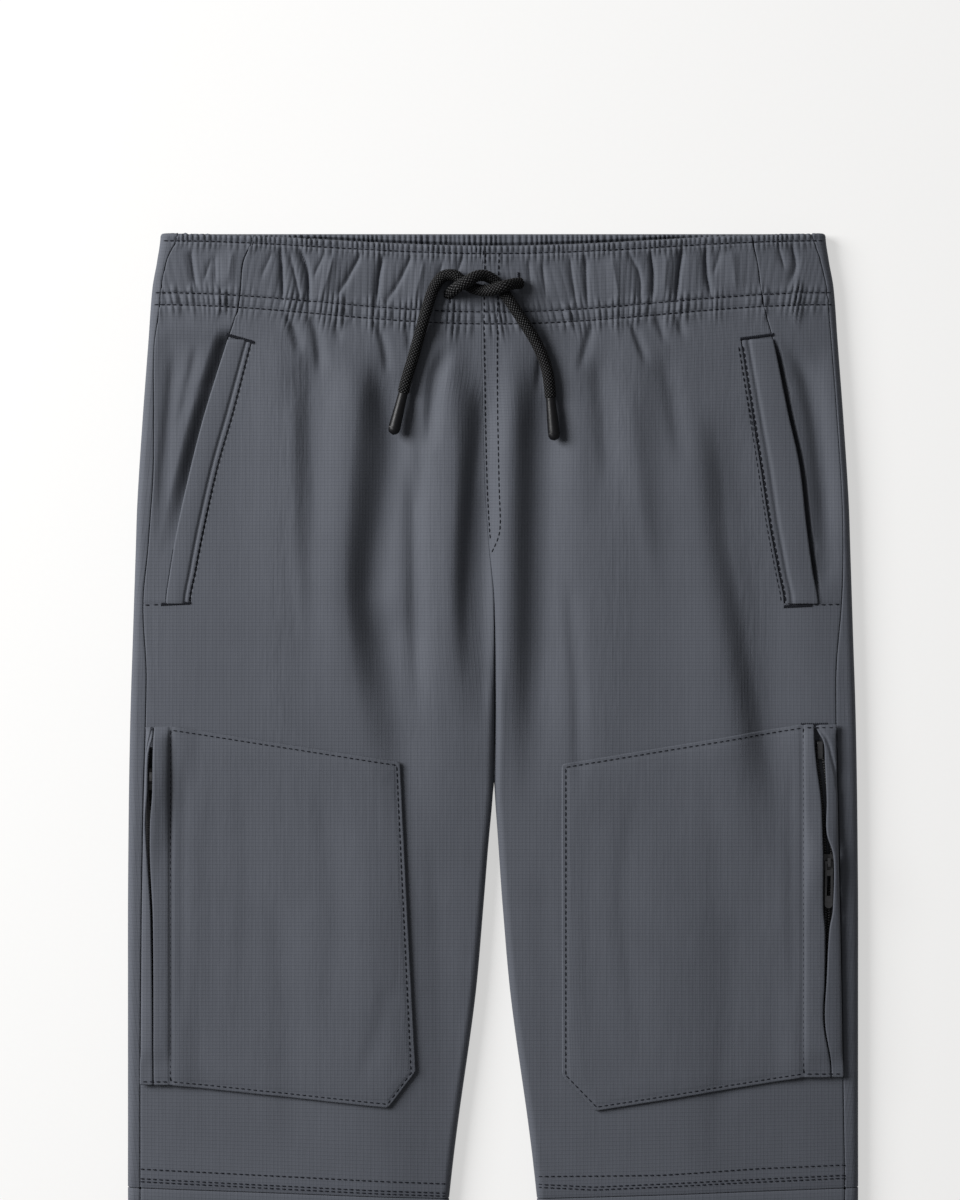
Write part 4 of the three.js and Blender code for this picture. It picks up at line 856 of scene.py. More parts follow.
def back_grid(side, rows, columns):
    x, depth, arc = round_the_edge(side, rows, BACK_ON_TOP, columns)
    top = cloth_top(side, x, depth) + np.where(arc < -4, relief(x, depth), 0) * smoothstep(-arc, 4, 8)
    soft = 0.12 * np.clip(wander(x + 0.1 * depth, 13, 6), 0, 1) * smoothstep(arc, 8, 16)
    under = cloth_under(side, x, depth) + soft
    return as_grid(side, x, depth, np.where(arc < 0, top, under), rows[:, None], 0.4)


def gathered_lining(grid):
    """The inner side of the back's casing stands in pleats, which are seen above the front, and drops at the
    front's edge."""
    lining = grid[:LINING_ROWS + 2]
    x, depth = lining[..., 0], LENGTH / 2 - lining[..., 1]
    reach = smoothstep(np.arange(grid.shape[1]), BACK_ON_TOP + 24, BACK_ON_TOP + 36)
    front_edge = waist_dip(x, np.zeros_like(x))
    drop = smoothstep(depth, front_edge - 1.7, front_edge - 0.3) * smoothstep(front_edge, 1.2, 2.4)
    lining[..., 2] += reach * (1.3 * pleats(x, TOP_PLEAT, 8) - 1.7 * drop)
    return grid


for side, end in SIDES.items():
    grid = hemmed(back_grid(side, BACK_ROWS, 310), SEAM_HEM, SEAM_HEM, (1.3, LINING_ROWS, 1), SEAM_HEM)
    piece = cloth_object("back_" + end + "_cloth", side, gathered_lining(grid))
    is_cloth(piece, "back_" + end, 0.075)

# %% [markdown]
# ## Lower legs and cuffs
# Below the knee seam each leg is a plain front and back. The photograph ends here, so they are finished
# plainly: a soft crease or two, and an elastic cuff in close pleats.

# %% Lower legs
for side, end in SIDES.items():
    x, depth = from_inner(side, SHIN_ROWS, 90, side_seam)
    lower = as_grid(side, x, depth, top_height(side, x, depth), SHIN_ROWS[:, None], 0.3)
    piece = cloth_object("lower_front_" + end + "_cloth", side, hemmed(lower, *[SEAM_HEM] * 4))
    is_cloth(piece, "lower_front_" + end, 0.0505)
    lower = hemmed(back_grid(side, SHIN_ROWS, 100), *[SEAM_HEM] * 4)
    piece = cloth_object("lower_back_" + end + "_cloth", side, lower)
    is_cloth(piece, "lower_back_" + end, 0.059)

# %% Cuffs
CUFF_ROWS = np.concatenate([[CUFF_DEPTH + INSET], np.linspace(CUFF_DEPTH + 2, LENGTH - 1.1, 24)])


def cuff_grid(side):
    """All round the ankle from the inner leg: over the upper side, round the outer edge and back below."""
    rows = CUFF_ROWS[:, None]
    inner, outer = inner_edge(side, rows), outer_edge(side, rows)
    width = np.abs(outer - inner)
    whole = width + 2 * QUARTER
    arc = mix(INSET, 2 * whole - INSET, np.linspace(0, 1, 300)[None])
    along = np.where(arc < whole, arc, 2 * whole - arc)
    over = np.where(along < whole / 2, roll_in(along), width - roll_in(np.maximum(whole - along, 0)))
    x = inner + side * over
    z = np.where(arc < whole, cloth_top(side, x, rows), cloth_under(side, x, rows))
    grid = as_grid(side, x, rows, z, rows, 0.3)
    upper = smoothstep(along, 3, 10) * smoothstep(whole - along, 3, 10) * (arc < whole)
    band = 0.75 + 0.25 * np.cos(2 * np.pi * (rows - CUFF_DEPTH) / 14)
    grid[..., :3] += grid[..., 3:6] * (upper * band * 0.85 * pleats(x, CUFF_PLEAT, 3))[..., None]
    return grid


for side, end in SIDES.items():
    grid = hemmed(cuff_grid(side), SEAM_HEM, SEAM_HEM, SEAM_HEM, (1.0, 20, 3))
    piece = cloth_object("cuff_" + end + "_cloth", side, grid)
    is_cloth(piece, "cuff_" + end, 0.0135)

# %% [markdown]
# ## Cargo pockets
# A patch lies on each thigh. Its outer edge is the inner lip over a zip, and a strip from the side seam is
# the outer lip. Both stand up a little where they meet, and the tapes of the zip run below them. All of these
# are laid on the leg's own surface and lifted off it.

# %% Patches and lips
CARGO = {
    RIGHT: {"top_zip": 218.9, "top_inner": 234.9, "inner_top": 41.3, "inner_bottom": 34.2, "zip_line": 143,
            "chamfer_top": 371.6, "chamfer_x": 46.6, "bottom_inner": 388, "bottom_zip": 378},
    LEFT: {"top_zip": 218, "top_inner": 235.8, "inner_top": 30.6, "inner_bottom": 30.6, "zip_line": 137.6,
           "chamfer_top": 373.8, "chamfer_x": 45.7, "bottom_inner": 389.4, "bottom_zip": 374.5},
}
SLIT = {
    RIGHT: table("depth inner outer", (219, 150.2, 150.6), (232, 150.5, 152.5), (248, 150.6, 152.9),
                 (262, 151.7, 153.8), (279, 151.8, 153), (306, 150.6, 151.6), (374, 150.4, 150.9)),
    LEFT: table("depth inner outer", (218, 142.3, 142.9), (225, 142.3, 146.4), (235, 143.2, 147.1),
                (252, 145.3, 147.9), (266, 145.8, 147.8), (276, 146, 150.6), (300, 146.2, 150.6),
                (309, 147, 149.1), (330, 146.9, 147.9), (350, 146.3, 147.1), (373, 149.7, 150.2)),
}
LAY_GAP, PATCH, CLOTH, LIP_LIFT, ZIP_LIFT, ZIP_TOP, ZIP_BOTTOM = 0.5, 1.3, 1.2, 3.4, 1.3, 228, 358
PATCH_HEM, LIP_HEM = (0.55, 3, 1), (0.6, 3, 1)
# How far a lip bulges over the slider, at which depth, and how far along
LIP_BULGE = {RIGHT: (3.0, 245, 24), LEFT: (2.0, 279, 15)}


def share_of(value, start, end):
    return np.clip((value - start) / (end - start), 0, 1)


def cargo_edge(pocket, across, end):
    """Depth of the slanting top, or of the bottom with its inner corner cut off."""
    corner, outer = pocket["chamfer_x"], pocket["zip_line"]
    if end == "top":
        return mix(pocket["top_inner"], pocket["top_zip"], share_of(across, pocket["inner_top"], outer))
    straight = mix(pocket["bottom_inner"], pocket["bottom_zip"], share_of(across, corner, outer))
    cut = mix(pocket["chamfer_top"], pocket["bottom_inner"], share_of(across, pocket["inner_bottom"], corner))
    return np.minimum(straight, cut)


def lip_rise(side, depth, share):
    """Height of the cloth over the zip: level at its seam, up at the slit, and higher over the slider."""
    rise, middle, spread = LIP_BULGE[side]
    over_slider = rise * np.exp(-(((depth - middle) / spread) ** 2))
    ends = smoothstep(depth, 218.5, 224) * (1 - smoothstep(depth, ZIP_BOTTOM + 3, 370))
    return ZIP_LIFT + (LIP_LIFT + over_slider - CLOTH - ZIP_LIFT) * ends * np.sqrt(1 - (1 - share) ** 2)


def slit_edge(side, edge, depth):
    return side * read(SLIT[side], edge, depth)


PATCH_CREASES = {
    RIGHT: [
        (-0.35, 2.5, 5, (222, -149), (260, -147), (300, -148)),
        (0.35, 10, 8, (240, -60), (300, -56), (380, -54)),
        (-0.4, 5, 9, (236, -76), (300, -70), (376, -74)),
        (-0.3, 5, 8, (232, -112), (290, -108), (370, -112)),
        (0.35, 5, 4, (226, -128), (280, -131), (360, -130)),
        (-0.35, 2, 3, (226, -137), (290, -138), (370, -138)),
        (-0.4, 4, 6, (330, -46), (350, -50), (382, -58)),
    ],
    LEFT: [
        (-0.45, 4, 8, (240, 62), (300, 58), (384, 66)),
        (-0.35, 5, 9, (230, 96), (290, 100), (370, 96)),
        (0.35, 6, 5, (226, 122), (290, 126), (366, 124)),
        (-0.35, 2, 3, (224, 132), (290, 132), (366, 133)),
        (-0.35, 5, 7, (250, 40), (310, 42), (372, 44)),
    ],
}


def edge_groove(distance):
    """Edge sewing: the cloth is drawn down along a line 1.5 mm from its edge, and swells again inside it."""
    return -0.42 * np.exp(-(((distance - 1.5) / 0.8) ** 2)) + 0.25 * smoothstep(distance, 2, 9)


def patch_grid(side):
    pocket = CARGO[side]
    share = np.linspace(0, 1, 116)[:, None]
    flat_columns, lip_columns = 96, 12
    j = np.arange(flat_columns + lip_columns + 1)[None]
    inner = mix(pocket["inner_top"], pocket["inner_bottom"], share) + EDGE
    flat = mix(inner, pocket["zip_line"], np.clip(j / flat_columns, 0, 1))
    top, bottom = cargo_edge(pocket, flat, "top") + EDGE, cargo_edge(pocket, flat, "bottom") - EDGE
    depth = mix(top, bottom, share)
    past = np.clip((j - flat_columns) / lip_columns, 0, 1)
    to_slit = np.abs(slit_edge(side, "inner", depth)) - pocket["zip_line"] - EDGE
    x = side * (flat + to_slit * past)
    lift = np.where(past > 0, lip_rise(side, depth, past),
                    mix(LAY_GAP, ZIP_LIFT, smoothstep(flat - pocket["zip_line"], -14, -3)))
    from_edge = np.minimum(np.minimum(depth - top, bottom - depth), flat - inner) + EDGE
    seam = -0.35 * np.exp(-(((flat + to_slit * past - pocket["zip_line"]) / 0.8) ** 2))
    height = top_height(side, x, depth) + lift + PATCH + edge_groove(from_edge) + seam
    height = height + crease_height(PATCH_CREASES[side], x, depth)
    return as_grid(side, x, depth, height, None, 0.35)


def lip_grid(side):
    """From the slit out to the side seam."""
    pocket = CARGO[side]
    share = np.linspace(0, 1, 120)[:, None]
    depth = mix(pocket["top_zip"] + EDGE, pocket["bottom_zip"] - EDGE, share)
    slit = slit_edge(side, "outer", depth) + side * EDGE
    seam = side_seam(side, depth) - side * INSET
    across = np.linspace(0, 1, 18)[None]
    x = mix(slit, seam, across)
    height = top_height(side, x, depth) + lip_rise(side, depth, 1 - across) + CLOTH
    # A crease runs down and outwards from the top of the slit
    fold = -0.5 * np.exp(-(((across - share_of(depth, 220, 242)) / 0.16) ** 2)) * (depth < 246)
    return as_grid(side, x, depth, height + fold, None, 0.3)


for side, end in SIDES.items():
    patch = hemmed(patch_grid(side), PATCH_HEM, LIP_HEM, PATCH_HEM, PATCH_HEM)
    piece = cloth_object("cargo_pocket_" + end + "_cloth", side, patch)
    is_cloth(piece, "cargo_pocket_" + end, 0.0175, rests_on=["front_" + end + "_cloth"])
    lip = hemmed(lip_grid(side), PATCH_HEM, SEAM_HEM, SEAM_HEM, SEAM_HEM)
    piece = cloth_object("cargo_lip_" + end + "_cloth", side, lip)
    is_cloth(piece, "cargo_lip_" + end, 0.0014, rests_on=["front_" + end + "_cloth"])

# %% [markdown]
# ## The zips
# Each zip is two woven tapes with half a nylon coil on each. The slider and its tab are small dark castings.
# They keep the CAD model's shape, with their edges rounded. Only the slit between the lips shows them.

# %% Tapes and coils
ZIP_LINE = {
    RIGHT: table("depth x", (230, 151.3), (252, 151.3), (300, 151.2), (358, 150.6)),
    LEFT: table("depth x", (228, 144.9), (246, 146.8), (268, 148.4), (290, 148.4), (358, 147.2)),
}
SLIDER_AT = {RIGHT: 241, LEFT: 279}
TAPE_LIFT, TAPE_THICK, COIL_HALF, COIL_PITCH, POST, PLATE, CLEAR = 0.3, 0.4, 1.2, 1.15, 0.9, 0.6, 0.3
TAPE_HEM, STOP_HEM = (0.2, 2, 1), (0.3, 3, 1)


def zip_place(side, part, depth):
    """Where a half of the zip starts, and how far it is raised. It opens and rises round the slider."""
    at = SLIDER_AT[side]
    opened = mix(POST / 2 + SEAM_GAP, SEAM_GAP / 2, smoothstep(depth, at + 6, at + 14))
    raised = (PLATE + CLEAR) * (1 - smoothstep(np.abs(depth - at), 5, 14))
    return side * read(ZIP_LINE[side], "x", depth) + side * part * opened, TAPE_LIFT + raised


def tape_grid(side, part):
    depth = np.linspace(ZIP_TOP, ZIP_BOTTOM, 110)[:, None]
    start, raised = zip_place(side, part, depth)
    sewn = side * (CARGO[side]["zip_line"] - 1.5) if part < 0 else side_seam(side, depth) - side * 0.6
    share = np.linspace(0, 1, 16)[None]
    x = mix(start, sewn, share)
    lift = mix(raised, TAPE_LIFT, smoothstep(share, 0.1, 1))
    height = top_height(side, x, depth) + lift + TAPE_THICK
    grid = as_grid(side, x, depth, height, None, 0)
    return grid[:, ::-1] if part < 0 else grid


def rounded_rods(starts, ends, radius, sag=0.0, rings=5, around=6):
    """Short round rods, one for each start and end. Each bows down by sag and its two ends are closed."""
    share = np.linspace(0, 1, rings)
    width = radius * np.sqrt(np.clip(1 - np.abs(2 * share - 1) ** 3, 0, 1))
    middle = mix(starts[:, None], ends[:, None], share[None, :, None])
    middle[..., 2] -= sag * (2 * share - 1)[None] ** 2
    ahead = unit(ends - starts)
    beside = unit(np.cross(ahead, [0.0, 0.0, 1.0]))
    up = np.cross(beside, ahead)
    angle = np.linspace(0, 2 * np.pi, around, endpoint=False)[None, None, :, None]
    ring = np.cos(angle) * beside[:, None, None] + np.sin(angle) * up[:, None, None]
    points = middle[:, :, None] + ring * width[None, :, None, None]
    return points.reshape(-1, 3), tube_faces(rings, around, len(starts))[:, ::-1]


def coil_rods(side, part):
    """One rod for each turn of the coil, a little slanted, from the middle out to its bend."""
    depth = np.arange(ZIP_TOP + 0.8, ZIP_BOTTOM - 0.5, COIL_PITCH) + (0.25 * COIL_PITCH * part)
    start, raised = zip_place(side, part, depth)
    x0, x1 = start - side * part * 0.25, start + side * part * (COIL_HALF - 0.1)
    height = top_height(side, x0, depth) + raised + TAPE_THICK + 0.42
    starts = np.stack([x0, LENGTH / 2 - depth - 0.2, height], axis=1)
    ends = np.stack([x1, LENGTH / 2 - depth + 0.2, height - 0.05], axis=1)
    return rounded_rods(starts, ends, 0.36, 0.12)


tapes, coils = [], []
for side, end in SIDES.items():
    for part, name in ((-1, "inner"), (1, "outer")):
        node = "zip_" + name + "_" + end
        tapes.append(cloth_object(node + "_tape", side, hemmed(tape_grid(side, part), *[TAPE_HEM] * 4)))
        belongs(tapes[-1], "zip_tape", node)
        coils.append(new_object(node + "_coil", *coil_rods(side, part)))
        belongs(coils[-1], "zip_tape")
        print(node, "from", ZIP_TOP, "to", ZIP_BOTTOM, "mm")

# %% Slider, tab and head stop
def rounded_copy(node, body, width):
    """The CAD node's own mesh, its doubled points merged and its edges bevelled."""
    source = bpy.data.objects[node]
    mesh = source.data.copy()
    mesh.transform(source.matrix_world)
    piece = bpy.data.objects.new(node + "_cast", mesh)
    bpy.context.scene.collection.objects.link(piece)
    weld = piece.modifiers.new("weld", "WELD")
    weld.merge_threshold = 0.00001
    bevel = piece.modifiers.new("round", "BEVEL")
    bevel.width, bevel.segments, bevel.limit_method, bevel.angle_limit = width * MM, 2, "ANGLE", 0.6
    bevel.use_clamp_overlap = True
    belongs(piece, "zip_metal", node, body=body)
    return piece


castings = [
    rounded_copy("zip_slider_right", "trousers", 0.18), rounded_copy("zip_slider_left", "trousers", 0.18),
    rounded_copy("zip_pull_right", "trousers", 0.2), rounded_copy("zip_pull_left", "pull_tab", 0.2),
]


def head_stop():
    """The block that closes the top end of the left zip: a rounded slab, two sines for its crown."""
    u, v = np.meshgrid(np.linspace(-1, 1, 13), np.linspace(-1, 1, 21))
    x, depth = 145.1 + 1.6 * u, 229.6 + 4.2 * v
    crown = (1 - np.abs(u) ** 6) * (1 - np.abs(v) ** 10)
    z = top_height(LEFT, x, depth) + 1.1 + 0.9 * crown ** 0.5
    return as_grid(LEFT, x, depth, z)


castings.append(cloth_object("zip_head_stop_left", LEFT, hemmed(head_stop(), *[STOP_HEM] * 4)))
belongs(castings[-1], "zip_metal")
print("castings", [piece.name for piece in castings])

# %% [markdown]
# ## Tips of the drawcord
# Each tip is moulded over the end of the cord: a narrow neck, a body that widens a little, and a round end.
# It is a profile turned about the line that carries on from the cord.

# %% Tips
TIP_LAP, TIP_LENGTH, TIP_SIDES = 0.4, 19, 40
TIP_PROFILE = table(
    "depth radius",
    (0, 2.1), (0.5, 2.2), (1.0, 2.12), (1.8, 2.15), (6, 2.35), (12, 2.6), (16, 2.65), (17.6, 2.3),
    (18.6, 1.3), (TIP_LENGTH, 0),
)
tips = {}
for end, line in cord_paths.items():
    ahead = unit((line[-1] - line[-3]) * [1, 1, 0])
    round_end = TIP_LENGTH - 3 * np.cos(np.linspace(0, np.pi / 2, 12))
    run = np.sort(np.clip(np.concatenate([[0.0, 0.0], np.linspace(0.1, 16, 30), round_end]), 0, TIP_LENGTH))
    radius = read(TIP_PROFILE, "radius", run)
    radius[0] = 0
    spine = line[-1] + ahead * (run[:, None] - TIP_LAP)
    rests = bed_under(spine[:, 0], LENGTH / 2 - spine[:, 1], 2.4).max()
    spine[:, 2] = np.maximum(line[-1, 2], rests + 2.7 + 0.5)
    beside = unit(np.cross(ahead, [0, 0, 1]))
    angle = np.linspace(0, 2 * np.pi, TIP_SIDES, endpoint=False)[None, :, None]
    ring = np.cos(angle) * beside + np.sin(angle) * np.array([0, 0, 1.0])
    points = (spine[:, None] + ring * radius[:, None, None]).reshape(-1, 3)
    tips[end] = new_object("cord_tip_" + end + "_moulded", points, tube_faces(len(run), TIP_SIDES)[:, ::-1])
    belongs(tips[end], "cord_tip", "cord_tip_" + end)
    belongs(cords[end], "cord_braid", "drawcord_" + end)
    print("tip", end, "ends", round(float(LENGTH / 2 - spine[-1, 1]), 1), "mm below the waist")

# %% [markdown]
# ## Sewing
# A row of lockstitch is a line of short dashes whose ends go down into the cloth. Each stitch here is one
# short rod, laid on the surface along its row. A bar tack is the same rods side by side across its line.

# %% Rows of stitches
STITCH, STITCH_GAP, THREAD = 2.3, 0.4, 0.29
sewing = []


def on_cloth(x, depth, lift=0.0):
    """Points on the upper cloth, right or left by which leg they are over."""
    side = np.where(x < inner_edge(LEFT, depth), RIGHT, LEFT)
    height = np.where(side == LEFT, top_height(LEFT, x, depth), top_height(RIGHT, x, depth))
    return np.stack(np.broadcast_arrays(x, LENGTH / 2 - depth, height + lift), axis=-1)


def even_steps(line, step):
    run = np.concatenate([[0], np.cumsum(np.linalg.norm(np.diff(line, axis=0), axis=1))])
    count = max(int(run[-1] // step), 1)
    at = (np.arange(count) + 0.5) * run[-1] / count
    return at, run, np.stack([np.interp(at, run, line[:, axis]) for axis in range(3)], axis=1)


def stitch_row(line, gap=STITCH_GAP):
    """Rods along a line of points on the cloth. With no gap they make an unbroken dark line of thread, which is
    painted shade: it stands for the shaded groove along a sewn-in edge.
    """
    at, run, _ = even_steps(line, STITCH + STITCH_GAP)
    length = STITCH + STITCH_GAP - gap
    ends = [np.stack([np.interp(at + half, run, line[:, axis]) for axis in range(3)], axis=1)
            for half in (-length / 2, length / 2)]
    sewing.append(rounded_rods(ends[0], ends[1], THREAD, 0.16))


def bar_tack(line, width=1.7):
    """Rods across a line, close together and leaning in turn."""
    _, _, middle = even_steps(line, 0.42)
    ahead = unit(line[-1] - line[0])
    across = np.cross(ahead, [0, 0, 1]) * width / 2
    lean = ahead * 0.25 * np.where(np.arange(len(middle)) % 2, 1, -1)[:, None]
    sewing.append(rounded_rods(middle - across - lean, middle + across + lean, 0.26, 0.2))


def across_row(row, start, end):
    x = np.linspace(start, end, 500)
    return on_cloth(x, row + waist_dip(x, np.full_like(x, row)), 0.24)


# The three rows of the waist
for row in (TOP_STITCH, CASING_STITCH, CASING_END):
    centre, edge = read(CENTRE, "x", row), outer_edge(LEFT, row)
    stitch_row(across_row(row, float(-edge + 1.5), float(centre - 0.6)))
    stitch_row(across_row(row, float(centre + 0.6), float(edge - 1.5)))

# The mock fly: one row beside the seam, and a second that curves in to it
FLY_ROWS = (
    [(0, 0.8), (30, 0.9), (110, 0.9), (136, 0.8)],
    [(0, 7.1), (30, 6.9), (60, 6.5), (110, 6.2), (128, 5.8), (134, 4.8), (139, 2.6), (142, 0.9)],
)
for course in FLY_ROWS:
    course = table("depth x", *course)
    depth = np.linspace(8.6, course["depth"][-1], 260)
    x = read(CENTRE, "x", depth) + read(course, "x", depth)
    stitch_row(on_cloth(x, depth, 0.12))

# %% Pocket sewing
def along_welt(side, offset):
    """A line beside the welt's sewn edge: on the welt, or where the offset is less than 0 on the front."""
    depth = np.linspace(WELT_TOP + 3, WELT_END - 1, 200)
    share = offset / np.abs(pocket_mouth(side, depth) - welt_line(side, depth))
    x = mix(welt_line(side, depth), pocket_mouth(side, depth), share)
    depth = depth + waist_dip(x, depth)
    height = cloth_top(side, x, depth) + WELT_RISE * np.maximum(share, 0) + (0.27 if offset > 0 else 0.12)
    return np.stack([x, LENGTH / 2 - depth, height], axis=1)


def straight(start, end, lift):
    """A straight line on the cloth from one place to another, each as x and depth."""
    share = np.linspace(0, 1, 60)
    x, depth = mix(start[0], end[0], share), mix(start[1], end[1], share)
    return on_cloth(x, depth, lift)


for offset, side in ((0.5, RIGHT), (-1.7, LEFT)):
    stitch_row(along_welt(side, offset))
# An unbroken dark thread along the left welt's edge: painted shade for the shaded groove there.
stitch_row(along_welt(LEFT, 0.25), gap=0)
# Each bar tack: where it starts and ends, as x and depth, and its lift
BAR_TACKS = [
    ((-118.5, 45.0), (-106.1, 48.6), 0.35), ((-147.4, 164.8), (-134.3, 164.2), 0.3),
    ((109.7, 47.0), (124.5, 45.0), 0.35), ((129.2, 165.8), (141.5, 165.2), 0.3),
    ((-152.8, 220.4), (-146.0, 220.6), 1.9), ((136.5, 218.2), (148.6, 218.0), 2.0),
]
for start, end, lift in BAR_TACKS:
    bar_tack(straight(start, end, lift))
for start, end in (((-155.4, 165.2), (-147.8, 164.9)), ((142, 165.1), (154.4, 164.8))):
    stitch_row(straight(start, end, 0.15))


ROW_IN = 1.6


def on_patch(side, flat, depth):
    """Points on the patch of a cargo pocket, by their distance from the middle of the garment."""
    pocket = CARGO[side]
    rise = mix(LAY_GAP, ZIP_LIFT, smoothstep(flat - pocket["zip_line"], -14, -3)) + PATCH - 0.28
    return on_cloth(side * flat, depth, rise)


for side in SIDES:
    pocket = CARGO[side]
    flat = np.linspace(pocket["inner_top"] + 1.5, pocket["zip_line"] - 0.8, 300)
    stitch_row(on_patch(side, flat, cargo_edge(pocket, flat, "top") + ROW_IN))
    flat = np.linspace(pocket["chamfer_x"] + 0.4, pocket["zip_line"] - 0.8, 300)
    stitch_row(on_patch(side, flat, cargo_edge(pocket, flat, "bottom") - ROW_IN))
    flat = np.linspace(pocket["inner_bottom"] + ROW_IN, pocket["chamfer_x"] + 0.4, 80)
    stitch_row(on_patch(side, flat, cargo_edge(pocket, flat - 0.8, "bottom") - 1.0))
    depth = np.linspace(pocket["top_inner"] + ROW_IN, pocket["chamfer_top"], 260)
    share = (depth - pocket["top_inner"]) / (pocket["bottom_inner"] - pocket["top_inner"])
    stitch_row(on_patch(side, mix(pocket["inner_top"], pocket["inner_bottom"], share) + ROW_IN, depth))
    depth = np.linspace(pocket["top_zip"] + 1.5, pocket["bottom_zip"] - 1.5, 260)
    stitch_row(on_patch(side, np.full_like(depth, pocket["zip_line"]), depth))
    # The lips are sewn down above and below the zip
    for edge in (pocket["top_zip"] + 1.5, pocket["bottom_zip"] - 1.5):
        x = np.linspace(pocket["zip_line"] + 1, float(np.abs(side_seam(side, np.array(edge)))) - 1, 60)
        stitch_row(on_cloth(side * x, np.full_like(x, edge), ZIP_LIFT + PATCH - 0.1))

# %% Knee rows and eyelets
KNEE_STITCHES = {
    RIGHT: ([(19.5, 422.3), (95, 418.7), (161, 415.4)], [(19.5, 429.0), (95, 425.5), (161, 422.2)]),
    LEFT: ([(18.6, 419.0), (73.5, 418.2), (118.8, 415.3), (156, 413.8), (161, 415)],
           [(18.6, 424.9), (45, 426), (96, 423.5), (156, 420.9), (161, 422)]),
}
for side, rows in KNEE_STITCHES.items():
    for number, course in enumerate(rows):
        for shift in (0,) if number == 0 else (-1.3, 0.0):
            flat = np.linspace(course[0][0] + 1.2, course[-1][0] - 4, 260)
            depth = np.interp(flat, *np.array(course).T) + shift - (1.2 if number else 0)
            stitch_row(on_cloth(side * flat, depth, 0.1))
# The stitched ends of the two eyelets
bar_tack(straight((11.2, 17.4), (11.4, 21.8), 0.3), 1.3)
bar_tack(straight((-19.3, 27.2), (-19.1, 31.2), 0.3), 1.3)

points, faces, first = [], [], 0
for rod_points, rod_faces in sewing:
    points.append(rod_points)
    faces.append(rod_faces + first)
    first += len(rod_points)
thread = new_object("sewing_thread", np.concatenate(points), np.concatenate(faces))
belongs(thread, "ripstop")
print("stitches", first // 30)

# %% [markdown]
# ## Finishes
# A finish is a small network of shader nodes. The class below lets its arithmetic be written as Python sums:
# each operator adds one Math node.

# %% Shader sums
class Sum:
    """A socket that can stand in a sum with numbers and other sockets."""

    def __init__(self, tree, socket):
        self.tree, self.socket = tree, socket

    def put(self, operation, *values):
        node = self.tree.nodes.new("ShaderNodeMath")
        node.operation = operation
        for place, value in zip(node.inputs, values):
            if isinstance(value, Sum):
                self.tree.links.new(value.socket, place)
            else:
                place.default_value = value
        return Sum(self.tree, node.outputs[0])

    def __add__(self, other):
        return self.put("ADD", self, other)

    def __sub__(self, other):
        return self.put("SUBTRACT", self, other)

    def __rsub__(self, other):
        return self.put("SUBTRACT", other, self)

    def __mul__(self, other):
        return self.put("MULTIPLY", self, other)

    __radd__, __rmul__ = __add__, __mul__

    def above(self, low, high):
        """0 below low and 1 above high, with a soft step between."""
        ramp = (self - low) * (1 / (high - low))
        return self.put("SMOOTH_MIN", self.put("SMOOTH_MAX", ramp, 0.0, 0.1), 1.0, 0.1)


class Finish:
    """A material, with one method for any node."""

    def __init__(self, name, **constants):
        self.material = bpy.data.materials.new(name)
        self.material.use_nodes = True
        self.tree = self.material.node_tree
        self.shader = self.tree.nodes["Principled BSDF"]
        for label, value in constants.items():
            self.shader.inputs[label.replace("_", " ")].default_value = value

    def node(self, kind, inputs=None, output=0, **settings):
        """A node of one kind: its settings first, then the values or links of its sockets."""
        node = self.tree.nodes.new("ShaderNode" + kind)
        for label, value in settings.items():
            setattr(node, label, value)
        for label, value in (inputs or {}).items():
            if isinstance(value, Sum):
                self.tree.links.new(value.socket, node.inputs[label])
            else:
                node.inputs[label].default_value = value
        return Sum(self.tree, node.outputs[output])

    def feed(self, label, value):
        self.tree.links.new(value.socket, self.shader.inputs[label])

    def colour(self, dark, light, factor):
        """A mix of two colours."""
        mixed = self.node("Mix", {"Factor": factor}, data_type="RGBA", output=2)
        node = mixed.socket.node
        node.inputs[6].default_value, node.inputs[7].default_value = (*dark, 1), (*light, 1)
        return mixed

    def noise(self, scale, detail):
        """Noise that is fixed to the piece by its Object coordinates."""
        place = self.node("TexCoord", output=3)
        return self.node("TexNoise", {"Vector": place, "Scale": scale, "Detail": detail})

    def bump(self, height, distance, strength):
        """Raises the surface by a height, whose 1 is a distance in metres."""
        bump = self.node("Bump", {"Height": height, "Distance": distance, "Strength": strength})
        self.feed("Normal", bump)

    def wear(self, *pieces):
        for piece in pieces:
            piece.data.materials.clear()
            piece.data.materials.append(self.material)
        print(self.material.name, "on", len(pieces), "pieces")


# %% [markdown]
# ## Ripstop
# The cloth is a thin matt nylon. Thicker threads run both ways every 1.6 mm and make its small squares. Where
# it was gathered, fine creases run down it. The pattern follows the cloth through its UV map, in metres.

# %% Ripstop and thread
SQUARE = 0.0016
ripstop = Finish("ripstop", Roughness=0.7, Specular_IOR_Level=0.2, Sheen_Weight=0.03, Sheen_Roughness=0.5)
flat_cloth = ripstop.node("UVMap", uv_map="cloth")
split = ripstop.node("SeparateXYZ", {"Vector": flat_cloth})
across, down = split, Sum(ripstop.tree, split.socket.node.outputs[1])


def thick_thread(place):
    """1 on the thick thread of each square, which is a sixth as wide, and 0 between."""
    saw = place.put("PINGPONG", place * (1 / SQUARE), 0.5) * 2.0
    return 1 - saw.above(0.12, 0.34)


def stretched(scale_u, scale_v, size, detail):
    """Noise on the cloth, drawn out along one of its threads."""
    place = ripstop.node("Mapping", {"Vector": flat_cloth, "Scale": (scale_u, scale_v, 1)})
    return ripstop.node("TexNoise", {"Vector": place, "Scale": size, "Detail": detail, "Roughness": 0.55})


